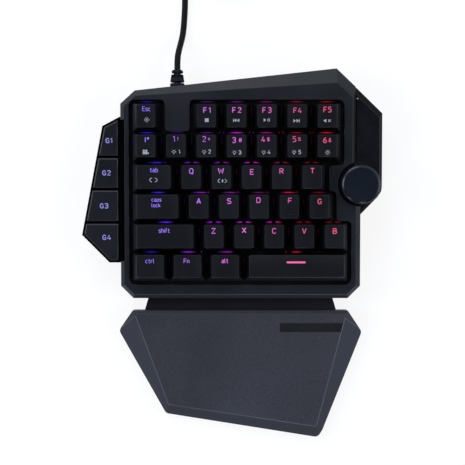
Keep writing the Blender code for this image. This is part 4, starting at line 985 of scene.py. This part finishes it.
class Keycap:
    # One cap's sizes, and its dished top as a surface that legends can lie on

    def __init__(self, name, row, start, units):
        self.name, self.row, self.units = name, row, units
        self.first, self.last = start == 0, name == keyRows[row][-1][0]
        self.x = block["left"] + (start + units / 2) * block["pitch"]
        self.v = block["rear"] - (row + 0.5) * block["pitch"]
        self.halfWidth = (units * block["pitch"] - cap["gap"]) / 2
        self.halfDepth = (block["pitch"] - cap["gap"]) / 2
        self.front = cap["height"] * cap["frontShares"][row]
        self.rear = cap["height"] * cap["rearShares"][row]
        self.frontSlope, self.rearSlope = cap["frontSlopes"][row], cap["rearSlopes"][row]
        self.shift = (self.frontSlope - self.rearSlope) / 2
        self.sideSlope = cap["sideSlopes"][row]
        self.topHalfWidth = self.halfWidth - self.sideSlope

    def plane(self, y):
        return (self.front + self.rear) / 2 + y * (self.rear - self.front) / (2 * self.halfDepth)

    def top(self, x, y):
        if self.name == "space":  # the space bar is crowned from front to rear instead of dished
            along = min(1.0, abs(y - self.shift) / (self.halfDepth - cap["crownInset"]))
            return self.plane(y) - cap["crown"] * along ** 2
        reach = self.topHalfWidth
        edge = min(1.0, max(0.0, reach - abs(x)) / min(reach, cap["dishReach"]))
        return self.plane(y) - cap["dish"] * (1 - (1 - edge) ** 2)

    def outline(self, share, inset, corner):
        # share runs from 0 at the top to 1 at the lower edge
        halfWidth = self.topHalfWidth + self.sideSlope * share - inset
        depthLoss = (self.frontSlope + self.rearSlope) / 2 * (1 - share)
        halfDepth = self.halfDepth - depthLoss - inset
        steps = max(8, round(self.units * 8))
        points = roundedRectangle(halfWidth, halfDepth, max(corner - inset, 0.0003), steps, 4, 5)
        return [Vector((p.x, p.y + self.shift * (1 - share))) for p in points]

    def toRow(self):
        return deckMatrix @ Matrix.Translation((self.x, self.v, -cap["sink"]))


def capRings(key):
    rings = []
    total = (key.front + key.rear) / 2
    edge = key.outline(0, cap["fillet"], cap["topCorner"])
    spare = key.halfWidth - key.halfDepth
    for scale in (0.04, 0.3, 0.55, 0.75, 0.88, 0.96):  # the top, from its middle outwards
        ring = []
        for p in edge:  # wide caps shrink to a line, so that the faces stay even
            spine = max(-spare, min(spare, p.x))
            x, y = spine + (p.x - spine) * scale, key.shift + (p.y - key.shift) * scale
            ring.append((x, y, key.top(x, y)))
        rings.append(ring)
    for step in range(5):  # the rounded edge
        angle = math.pi / 2 * step / 4
        inset, drop = cap["fillet"] * (1 - math.sin(angle)), cap["fillet"] * (1 - math.cos(angle))
        points = key.outline(drop / total, inset, cap["topCorner"])
        rings.append([(p.x, p.y, key.top(p.x, p.y) - drop) for p in points])
    for share in (0.3, 0.6, 0.96):  # the skirt
        corner = cap["topCorner"] + (cap["baseCorner"] - cap["topCorner"]) * share
        points = key.outline(share, 0, corner)
        rings.append([(p.x, p.y, key.top(p.x, p.y) * (1 - share) * 0.985) for p in points])
    for inset, growth in ((0.00015, 0), (cap["wall"], 0.0004)):  # the lower edge
        rings.append([(p.x, p.y, 0.0) for p in key.outline(1, inset, cap["baseCorner"] + growth)])
    ceiling = key.outline(cap["roof"] / total, cap["wall"], cap["baseCorner"] + 0.0006)
    rings.append([(p.x, p.y, key.plane(p.y) - cap["roof"] - 0.0003) for p in ceiling])
    return rings


def paintCap(key, shape):
    # Rims keep a painted highlight at the front alone; skirts facing out of the block get painted light
    bmesh.ops.recalc_face_normals(shape, faces=shape.faces[:])
    for face in shape.faces:
        across, along = face.normal.x, face.normal.y
        if face.material_index == 1 and along > -0.3:
            face.material_index = 0
        elif face.material_index == 2 and (across < -0.3 and key.first or across > 0.3 and key.last
                                           or along < -0.3 and key.row == len(keyRows) - 1):
            face.material_index = 3


def buildKeycap(key):
    shape = bmesh.new()
    loftRings(shape, capRings(key), bandMaterials=(0,) * 6 + (1,) * 2 + (2,) * 8)
    paintCap(key, shape)
    foot, top, stem = cap["sliderEnd"], key.plane(0) - cap["roof"], cap["stemWidth"] / 2
    posts = [(0, cap["sliderWidth"] / 2, cap["sliderDepth"] / 2)]
    if key.name in stabilisers:
        posts += [(side * stabilisers[key.name], stem, stem) for side in (-1, 1)]
    for x, across, along in posts:
        addBox(shape, (x - across, -along, foot), (x + across, along, top))
    if key.name == homing["key"]:
        y = key.shift + homing["back"]
        rings = []
        for lift, inset in homing["steps"]:
            outline = roundedRectangle(homing["halfWidth"] - inset, homing["halfDepth"] - inset,
                                       homing["corner"], 6, 2, 2)
            rings.append([(p.x, p.y + y, key.top(p.x, y) + lift) for p in outline])
        loftRings(shape, rings)
    moved(shape, key.toRow())
    data, body = closeMesh("cap_" + key.name, shape, 50), "key_" + key.name
    addPiece("cap_" + key.name, data, (capAbs, rimHighlightAbs, skirtShadeAbs, skirtLitAbs), body, (body,))


keycaps = {}
for row, keys in enumerate(keyRows):
    for name, start, units in keys:
        keycaps[name] = Keycap(name, row, start, units)
        buildKeycap(keycaps[name])
print("keycaps built:", len(keycaps))


# Legends: strokes of one width, as cut into double-shot keycaps

legend = {  # rises are above the middle of the top, row by row
    "height": 0.00365, "stroke": 0.00060, "widen": 1.12, "wordWiden": 0.93, "digitHeight": 0.0037,
    "digitStroke": 0.00054, "signStroke": 0.00040, "wordHeight": 0.0031, "wordStroke": 0.00046,
    "thickness": 0.00012, "gap": 0.7, "wordGap": 0.45, "space": 1.2,
    "rises": (0.00368, 0.00408, 0.00373, 0.00365, 0.00353, 0.00348),
    "iconRises": (-0.00273, -0.00398, -0.00218), "iconStroke": 0.00032, "printThickness": 0.00003,
    "shifts": {  # across and up in millimetres, as the moulds of real caps differ
        "esc": (0.45, 0.85), "f1": (0.4, -0.05), "f2": (0.15, 0), "f4": (0.2, -0.2), "f5": (-0.1, 0.35),
        "bar": (0.6, -0.3), "1": (-0.1, 0.3), "2": (0.2, 0.15), "3": (0.35, -0.5), "4": (-0.7, 0),
        "5": (-0.2, 0.1), "6": (0, -0.5), "tab": (0.2, 0.75), "w": (-0.35, 0.15), "e": (0.15, -0.5),
        "r": (-0.25, 0), "t": (0.25, 0.2), "a": (-0.1, -0.15), "s": (0.1, -0.15), "d": (-0.45, 0.4),
        "f": (0.45, 0.15), "g": (0.1, -0.4), "shift": (-0.55, 0.25), "z": (-0.3, 0), "x": (0, 0.4),
        "b": (0.25, -0.1), "ctrl": (-0.2, 0), "fn": (-0.75, 0), "alt": (-0.2, 0.1), "space": (-0.4, -0.9),
    },
    "iconShifts": {  # the same for the printed icons
        "esc": (0.6, 0.4), "f1": (0.3, 0.1), "f3": (-0.1, 0.2), "f4": (-0.65, -0.25), "f5": (-0.1, -0.2),
        "bar": (-0.2, 0.1), "1": (0.2, 0.2), "2": (0.25, 0.2), "3": (0.25, -0.25), "4": (-0.4, -0.1),
        "5": (-0.2, -0.05), "6": (0.25, -0.15), "tab": (-0.1, 0.3), "w": (0.65, -0.25),
    },
}


def readStrokes(text):  # strokes are parted by ";" and their points by spaces
    return [[tuple(float(part) for part in point.split(",")) for point in line.split()]
            for line in text.split(";")]


glyphs = {  # on a grid 6 high
    "E": "3.5,6 0,6 0,0 3.5,0; 0,3.1 3.1,3.1", "F": "0,0 0,6 3.6,6; 0,3 3.1,3", "1": "0,4.8 1.5,6 1.5,0",
    "2": "0,5.1 0.9,6 2.7,6 3.6,5.2 3.6,4.1 0,0 3.8,0",
    "3": "0,5.3 0.8,6 2.7,6 3.5,5.2 3.5,3.9 2.7,3.1 1.2,3.1; 2.7,3.1 3.6,2.2 3.6,0.9 2.7,0 0.8,0 0,0.7",
    "4": "2.3,6 0,1.5 4,1.5; 2.9,3.2 2.9,0", "5": "3.5,6 0.5,6 0.3,3.5 2.7,3.6 3.6,2.7 3.6,0.9 2.7,0 0,0",
    "6": "2.9,6 1.3,5.1 0,2.7 0,1 0.9,0 2.7,0 3.6,0.9 3.6,2.2 2.7,3.1 0.4,3.1", "|": "0,-0.6 0,6.2",
    "!": "0,5.6 0,2.2; 0,0.7 0,0.1",
    "@": "2.4,1.9 1.3,1.9 1.3,3.3 2.4,3.3 2.4,1.5 3.4,1.5 3.4,3.9 2.6,4.5 0.8,4.5 0,3.7 0,1.2 0.8,0.5 "
         "2.6,0.5",
    "#": "0.9,0.4 1.5,5.6; 2.7,0.4 3.3,5.6; 0,2 4,2; 0.2,4 4.2,4",
    "$": "3.2,5 0.8,5 0,4.4 0,3.6 0.8,3 2.4,3 3.2,2.4 3.2,1.6 2.4,1 0,1; 1.6,6 1.6,0",
    "%": "3.4,5.6 0,0.4; 0,5.4 1.1,5.4 1.1,4.2 0,4.2 0,5.4; 2.4,1.8 3.5,1.8 3.5,0.6 2.4,0.6 2.4,1.8",
    "&": "3.6,0 0.7,4 0.7,5.3 1.4,6 2,6 2.7,5.3 2.7,4.5 0,2.2 0,0.9 0.8,0 2.2,0 3.5,1.8",
    "Q": "1,0 0,1 0,5 1,6 2.8,6 3.8,5 3.8,1 2.8,0 1,0; 2.5,1.2 3.7,-0.9",
    "W": "0,6 1.3,0 2.8,4.8 4.3,0 5.6,6", "R": "0,0 0,6 2.7,6 3.6,5.2 3.6,3.8 2.7,3 0,3; 1.9,3 3.7,0",
    "T": "0,6 4,6; 2,6 2,0", "A": "0,0 1.9,6 2.1,6 4,0; 0.7,1.9 3.3,1.9",
    "S": "3.6,5.3 2.8,6 0.9,6 0,5.2 0,4 0.9,3.2 2.8,2.9 3.7,2.1 3.7,0.8 2.8,0 0.8,0 0,0.7",
    "D": "0,0 0,6 2.5,6 3.8,4.8 3.8,1.2 2.5,0 0,0",
    "G": "3.6,4.9 2.9,5.7 1.9,6 0.9,5.6 0.2,4.7 0,3 0.2,1.3 0.9,0.4 1.9,0 2.9,0.2 3.7,0.9 3.7,2.8 2.2,2.8",
    "Z": "0,6 3.8,6 0,0 3.9,0", "X": "0,6 3.9,0; 3.9,6 0,0",
    "C": "3.7,5.1 2.8,6 0.9,6 0,5.1 0,0.9 0.9,0 2.8,0 3.7,0.9", "V": "0,6 1.9,0 2.1,0 4,6",
    "B": "0,0 0,6 2.6,6 3.4,5.3 3.4,3.8 2.6,3.1 0,3.1; 2.6,3.1 3.7,2.3 3.7,0.8 2.8,0 0,0",
    "a": "0.2,4 2.2,4 3,3.2 3,0 0.8,0 0,0.6 0,1.5 0.8,2.1 3,2.1",
    "b": "0,6 0,0 2.1,0 3,0.8 3,3.2 2.1,4 0,4", "c": "2.8,4 0.9,4 0,3.2 0,0.8 0.9,0 2.8,0",
    "f": "2.2,6 1.6,6 0.9,5.3 0.9,0; 0,4 2,4", "h": "0,6 0,0; 0,4 2.1,4 3,3.2 3,0",
    "i": "0,4 0,0; 0,6 0,5.4", "k": "0,6 0,0; 2.8,4 0,1.7; 1.1,2.5 3,0", "l": "0,6 0,0.7 0.7,0 1.1,0",
    "n": "0,4 0,0; 0,4 2.1,4 3,3.2 3,0", "o": "0.9,0 0,0.8 0,3.2 0.9,4 2.1,4 3,3.2 3,0.8 2.1,0 0.9,0",
    "p": "0,-1.6 0,4 2.1,4 3,3.2 3,0.8 2.1,0 0,0", "r": "0,4 0,0; 0,3 1,4 2,4",
    "s": "2.8,4 0.8,4 0,3.4 0,2.7 0.8,2.1 2.1,1.9 2.8,1.3 2.8,0.6 2.1,0 0,0",
    "t": "1,5.6 1,0.8 1.7,0 2.6,0; 0,4 2.4,4",
}


def strokeShape(strokes, width, thickness):
    # Flattened tubes along the strokes: rounded on top, closed all round
    curve = bpy.data.curves.new("strokes", "CURVE")
    curve.dimensions = "3D"
    curve.bevel_depth, curve.bevel_resolution, curve.use_fill_caps = width / 2, 2, True
    for stroke in strokes:
        closed = stroke[0] == stroke[-1] and len(stroke) > 2
        points = stroke[:-1] if closed else stroke
        spline = curve.splines.new("POLY")
        spline.points.add(len(points) - 1)
        for spot, point in zip(spline.points, points):
            spot.co = (*point, 0, 1)
        spline.use_cyclic_u = closed
    holder = placed("strokes", curve)
    data = evaluatedMesh(holder)
    bpy.data.objects.remove(holder)
    bpy.data.curves.remove(curve)
    shape = bmesh.new()
    shape.from_mesh(data)
    bpy.data.meshes.remove(data)
    bmesh.ops.remove_doubles(shape, verts=shape.verts[:], dist=1e-7)
    for vert in shape.verts:
        vert.co.z *= thickness / width
    return shape


def fillShape(shape, outline, thickness):
    loftRings(shape, [[(x, y, z) for x, y in outline] for z in (-thickness / 2, thickness / 2)])


def wordStrokes(word, height, stroke, gap=legend["gap"], widen=1.0):
    # Strokes of a word centred on its own middle, with capitals of that height over all
    unit = (height - stroke) / 6
    made, x = [], 0.0
    for letter in word:
        if letter == " ":
            x += legend["space"]
            continue
        strokes = readStrokes(glyphs[letter])
        made += [[(px + x, py) for px, py in line] for line in strokes]
        x += max(px for line in strokes for px, py in line) + stroke / unit + gap
    low = min(px for line in made for px, py in line)
    high = max(px for line in made for px, py in line)
    base = min(py for line in made for px, py in line if py >= 0)
    tall = max(py for line in made for px, py in line)
    return [[((px - (low + high) / 2) * unit * widen, (py - (base + tall) / 2) * unit) for px, py in line]
            for line in made]


def layPiece(name, shape, surface, toRow, material, body, level):
    # Lays a flat shape on a surface function, then moves it into the row frame
    for vert in shape.verts:
        vert.co.z += surface(vert.co.x, vert.co.y)
    moved(shape, toRow)
    data = closeMesh(name, shape)
    setLevels(data, [level] * len(data.vertices))
    addPiece(name, data, material, body)


def shifted(shape, x, y):
    bmesh.ops.translate(shape, verts=shape.verts[:], vec=(x, y, 0))
    return shape


def joined(shapes):
    whole = bmesh.new()
    for shape in shapes:
        data = bpy.data.meshes.new("part")
        shape.to_mesh(data)
        shape.free()
        whole.from_mesh(data)
        bpy.data.meshes.remove(data)
    return whole


legendText = {
    "esc": "Esc", "f1": "F 1", "f2": "F 2", "f3": "F 3", "f4": "F4", "f5": "F5", "tab": "tab",
    "shift": "shift", "ctrl": "ctrl", "fn": "Fn", "alt": "alt",
}
legendSigns = {  # second sign, its height and the clear gap before it, in millimetres
    "1": ("!", 2.9, 1.6), "2": ("@", 1.9, 1.2), "3": ("#", 3.3, 1.5), "4": ("$", 3.1, 1.05),
    "5": ("%", 2.8, 1.15), "6": ("&", 2.6, 1.05),
}
legendLevels = {
    "esc": 0.97, "w": 1.3, "x": 1.15, "caps": 1.1, "z": 1.15, "b": 1.15, "6": 1.12, "2": 0.85, "f4": 0.95,
    "t": 1.05, "r": 1.05, "ctrl": 0.93, "space": 1.6, "shift": 1.0, "a": 1.1, "3": 1.02, "d": 1.1,
    "f": 1.05, "v": 1.05, "4": 1.05, "5": 1.05, "alt": 0.95, "fn": 0.95, "tab": 1.08, "bar": 1.04,
}


def signShape(key):
    # A digit with its smaller second sign to the right
    sign, height, gap = legendSigns[key.name]
    stroke, thin = legend["digitStroke"], legend["signStroke"] * (0.7 if sign == "@" else 1.0)
    digit = wordStrokes(key.name, legend["digitHeight"], stroke)
    second = wordStrokes(sign, height * mm, thin)
    digitHalf, secondHalf = (max(x for line in strokes for x, y in line) + width / 2
                             for strokes, width in ((digit, stroke), (second, thin)))
    reach = (digitHalf + gap * mm + secondHalf) / 2
    return joined([shifted(strokeShape(digit, stroke, legend["thickness"]), -reach, 0),
                   shifted(strokeShape(second, thin, legend["thickness"]), reach, 0)])


marks = {  # the keys whose legends aren't one word
    "space": {"halfWidth": 0.0060, "halfDepth": 0.00058, "corner": 0.00056},
    "bar": {"line": [(-0.0009, -0.0015), (-0.0009, 0.0015)], "dot": (0.0008, 0.0009, 0.00078, 16)},
    "fill": 0.0001,
    "caps": {"height": 0.0026, "stroke": 0.00040, "left": -0.0036, "drop": -0.0012,
             "words": (("caps", 0.0016), ("lock", -0.0016))},
}


def legendShape(key):
    thickness, stroke, mark = legend["thickness"], legend["stroke"], marks.get(key.name)
    if key.name == "space":
        shape = bmesh.new()
        outline = roundedRectangle(mark["halfWidth"], mark["halfDepth"], mark["corner"], 8, 2, 4)
        fillShape(shape, [(p.x, p.y) for p in outline], marks["fill"])
        return shape
    if key.name == "bar":
        shape = strokeShape([mark["line"]], stroke, thickness)
        fillShape(shape, disc(*mark["dot"]), marks["fill"])
        return shape
    if key.name == "caps":  # two short lines that start at the same place
        lines = []
        for word, up in mark["words"]:
            strokes = wordStrokes(word, mark["height"], mark["stroke"], legend["wordGap"])
            start = min(x for line in strokes for x, y in line)
            lines += [[(x - start + mark["left"], y + up) for x, y in line] for line in strokes]
        return shifted(strokeShape(lines, mark["stroke"], thickness), 0, mark["drop"])
    if key.name in legendSigns:
        return signShape(key)
    word = legendText.get(key.name, key.name.upper())
    height, gap, widen = legend["height"], legend["gap"], legend["widen"] if len(word) == 1 else 1.0
    if len(word) > 1 and not key.name[1:].isdigit():
        height, stroke = legend["wordHeight"], legend["wordStroke"]
        gap, widen = legend["wordGap"], legend["wordWiden"]
    return strokeShape(wordStrokes(word, height, stroke, gap, widen), stroke, thickness)


def layOnCap(key, name, shape, shift, rise, material, level):
    # Moves a flat shape to its place on a cap's dished top; shift is in millimetres and rise in metres
    shifted(shape, shift[0] * mm, rise + shift[1] * mm)

    def surface(x, y):
        return key.top(x, y + key.shift) + 0.00001

    toRow = key.toRow() @ Matrix.Translation((0, key.shift, 0))
    layPiece(name, shape, surface, toRow, material, "key_" + key.name, level)


def slab(left, low, right, high):
    return [(left, low), (right, low), (right, high), (left, high)]


def triangles(side, *places):  # arrow heads that point to that side, from those places
    corners = [(0, 1.1), (1.6, 0), (0, -1.1)] if side > 0 else [(0, 1.1), (0, -1.1), (-1.6, 0)]
    return [[(x + place, y) for x, y in corners] for place in places]


def ringed(x, y, radius, points):
    ring = disc(x, y, radius, points)
    return ring + ring[:1]


def lampIcon():
    rays = []
    for angle in (0, 45, 135, 180):
        c, s = math.cos(math.radians(angle)), math.sin(math.radians(angle))
        rays.append([(reach * c - 1.6, reach * s + 0.1) for reach in (1.35, 1.55)])
    return [ringed(-1.6, 0, 0.82, 12), *rays], [slab(-1.9, -1.45, -1.3, -1.1)]


icons = {  # strokes and filled outlines in millimetres about the icon's own middle
    "esc": (readStrokes("-1.6,0 0,1.5 1.6,0 0,-1.5 -1.6,0"), [disc(0, 0, 0.5, 8)]),
    "f1": ([], [slab(-1.2, -1.12, 1.2, 1.12)]),
    "f2": ([], [*triangles(-1, -0.2, 1.7), slab(-2.2, -1.1, -1.8, 1.1)]),
    "f3": ([], [*triangles(1, -1.9), slab(0.6, -1, 1.0, 1), slab(1.5, -1, 1.9, 1)]),
    "f4": ([], [*triangles(1, -1.7, 0.2), slab(1.8, -1.1, 2.2, 1.1)]),
    "f5": (readStrokes("0.6,-0.8 2.1,0.8; 0.6,0.8 2.1,-0.8"),
           readStrokes("-2.2,-0.5 -1.6,-0.5 -0.6,-1.15 -0.6,1.15 -1.6,0.5 -2.2,0.5")),
    "bar": ([], [disc(-1.1, 0.8, 0.72), disc(0.5, 0.8, 0.72), slab(-1.8, -1.4, 1.2, 0.1),
                 *readStrokes("1.2,-1.1 2.1,-1.4 2.1,-0.1 1.2,-0.5")]),
    **{digit: lampIcon() for digit in "12345"},
    "6": ([ringed(0, 0, 0.75, 8)], [disc(x, y, 0.24, 8) for x, y in disc(0, 0, 1.45, 8)]),
    "tab": (readStrokes("-0.9,1.2 -1.75,1 -2.35,0.2 -2.35,-0.2 -1.75,-1 -0.9,-1.2;"
                        "0.9,1.2 1.75,1 2.35,0.2 2.35,-0.2 1.75,-1 0.9,-1.2"), []),
    "w": (readStrokes("-1.5,1.1 -2.3,0.9 -2.8,0.2 -2.8,-0.2 -2.3,-0.9 -1.5,-1.1; 1.5,1.2 2.8,0 1.5,-1.2"),
          [[(-0.6, 0), (0, -1.2), (0.6, 0), (0, 1.2)]]),
}
iconDigit = {"height": 0.0027, "stroke": 0.0005, "place": (0.0018, 0.0001)}


def iconShape(name):
    strokes, fills = icons[name]
    thickness = legend["printThickness"]
    stroke = legend["iconStroke"] * (1.3 if name in ("tab", "w", "f5") else 1.0)
    lines = [[(x * mm, y * mm) for x, y in line] for line in strokes]
    shape = strokeShape(lines, stroke, thickness) if lines else bmesh.new()
    for outline in fills:
        fillShape(shape, [(x * mm, y * mm) for x, y in outline], thickness)
    if name in "12345":
        stroke = iconDigit["stroke"]
        number = strokeShape(wordStrokes(name, iconDigit["height"], stroke), stroke, thickness)
        shape = joined([shape, shifted(number, *iconDigit["place"])])
    return shape


for key in keycaps.values():
    layOnCap(key, "legend_" + key.name, legendShape(key), legend["shifts"].get(key.name, (0, 0)),
             legend["rises"][key.row], legendLight, legendLevels.get(key.name, 1.0))
for name in icons:
    key = keycaps[name]
    layOnCap(key, "print_" + name, iconShape(name), legend["iconShifts"].get(name, (0, 0)),
             legend["iconRises"][key.row], greyInk, 1.0)

macroLegend = {
    "height": 0.0034, "stroke": 0.0006, "widen": 1.12, "drop": 0.0015,
    "places": ((-0.0785, 0.0720), (-0.0801, 0.0515), (-0.0818, 0.0305), (-0.0802, 0.0104)),
}
for number, place in enumerate(macroLegend["places"], 1):
    stroke = macroLegend["stroke"]
    strokes = wordStrokes(f"G{number}", macroLegend["height"], stroke, widen=macroLegend["widen"])
    layPiece(f"legend_G{number}", strokeShape(strokes, stroke, legend["thickness"]), lambda x, y: 0.00002,
             onDeck(*place, -macroLegend["drop"]), macroLight, f"macro_key_{number}", 1.0)
print("legends laid")


# Key lights: glowing strips on the switch plate, in the gaps between the caps, painting the lights' glow
# there

light = {  # top and foot are measured from the deck's plane
    "top": -0.0019, "foot": -0.0074, "width": 0.00054, "half": 0.0060, "splitHalf": 0.0025,
    "splitGap": 0.0009, "sideHalf": 0.0034, "sideLevel": 0.05, "sideWidth": 0.000378, "sideShift": 0.0040,
    "rearShift": 0.0005, "splitLean": 0.09, "splitPeak": 0.75, "dotSide": 0.00045, "dotDepth": 0.00052,
    "dotShift": 0.00015, "dotGain": 1.3, "spaceShift": 0.0007, "spaceHalf": 0.0044, "stations": 14,
    "tip": 0.03, "falloff": 2.2,
}
lightLevels = {
    "esc": 0.33, "f1": 0.24, "f2": 0.30, "f3": 0.30, "f4": 0.45, "f5": 0.55, "bar": 0.75, "1": 0.3,
    "2": 0.32, "3": 1.15, "4": 0.62, "5": 0.5, "6": 1.3, "tab": 1.0, "q": 0.9, "w": 0.8, "e": 1.2, "r": 0.6,
    "t": 0.5, "caps": 1.05, "a": 0.8, "s": 0.6, "d": 0.3, "f": 1.05, "g": 0.4, "shift": 1.3, "z": 1.05,
    "x": 1.1, "c": 1.05, "v": 0.55, "b": 0.55, "ctrl": 0.45, "fn": 1.0, "alt": 0.6, "space": 0.95,
}
lightPeaks = {  # where along its pipe a light is brightest, if not in the middle
    "tab": 0.5, "a": 0.35, "s": 0.3, "alt": 0.3, "space": -0.3,
}
lightDots = (  # small spots between the switch housings: place across in key pitches, row behind it, level
    (1.11, 2, 0.7), (2.56, 3, 0.7), (3.55, 3, 0.65), (4.54, 3, 0.6), (5.53, 3, 0.7), (2.32, 5, 0.5),
    (3.32, 5, 0.55), (5.16, 5, 0.6), (2.93, 1, 0.3), (3.07, 1, 0.3), (3.93, 1, 0.32), (4.06, 1, 0.3),
    (4.93, 1, 0.4), (5.06, 1, 0.5), (5.94, 1, 0.35), (6.06, 1, 0.3),
)


def addGlowStrip(shape, levels, x, v, half, width, strength, turned=False, lean=0.0, peak=0.0):
    # A slim glowing strip: brightest at its peak (from -1 to 1 along it), dark at both ends
    rings = []
    for k in range(light["stations"] + 1):
        t = -1 + 2 * k / light["stations"]
        reach = width / 2 * math.sqrt(max(1 - t * t, light["tip"]))
        fade = (t - peak) / (1 + peak if t < peak else 1 - peak)
        level = strength * max(0.0, math.cos(fade * math.pi / 2)) ** light["falloff"]
        ring = []
        for side, z in ((-1, light["foot"]), (1, light["foot"]), (1, light["top"]), (-1, light["top"])):
            along, across = t * half, side * reach + lean * t * half
            spot = (x + across, v + along, z) if turned else (x + along, v + across, z)
            ring.append(deckMatrix @ Vector(spot))
            levels.append(level if z == light["top"] else 0.0)
        rings.append(ring)
    loftRings(shape, rings)


def buildLights():
    shape, levels = bmesh.new(), []
    for key in keycaps.values():
        rear = key.v + block["pitch"] / 2
        if key.row == 0 or key.name == "1":
            rear += light["rearShift"]
        strength = lightLevels[key.name]
        if key.row in (2, 4) and key.units == 1:
            for side in (-1, 1):
                addGlowStrip(shape, levels, key.x + side * (light["splitGap"] + light["splitHalf"]), rear,
                        light["splitHalf"], light["width"], strength, lean=-side * light["splitLean"],
                        peak=-side * light["splitPeak"])
        else:
            space = key.name == "space"
            addGlowStrip(shape, levels, key.x + (light["spaceShift"] if space else 0), rear,
                    light["spaceHalf" if space else "half"], light["width"], strength,
                    peak=lightPeaks.get(key.name, 0.0))
        left = key.x - key.halfWidth - cap["gap"] / 2
        addGlowStrip(shape, levels, left, key.v + light["sideShift"], light["sideHalf"], light["sideWidth"],
                light["sideLevel"], turned=True)
    for across, row, level in lightDots:
        addGlowStrip(shape, levels, block["left"] + across * block["pitch"],
                block["rear"] - row * block["pitch"] + light["dotShift"], light["dotSide"], light["dotDepth"],
                level * light["dotGain"])
    data = closeMesh("keyLightPipes", shape)
    setLevels(data, levels)
    addPiece("keyLightPipes", data, barLight, "case")


buildLights()
print("key lights set")
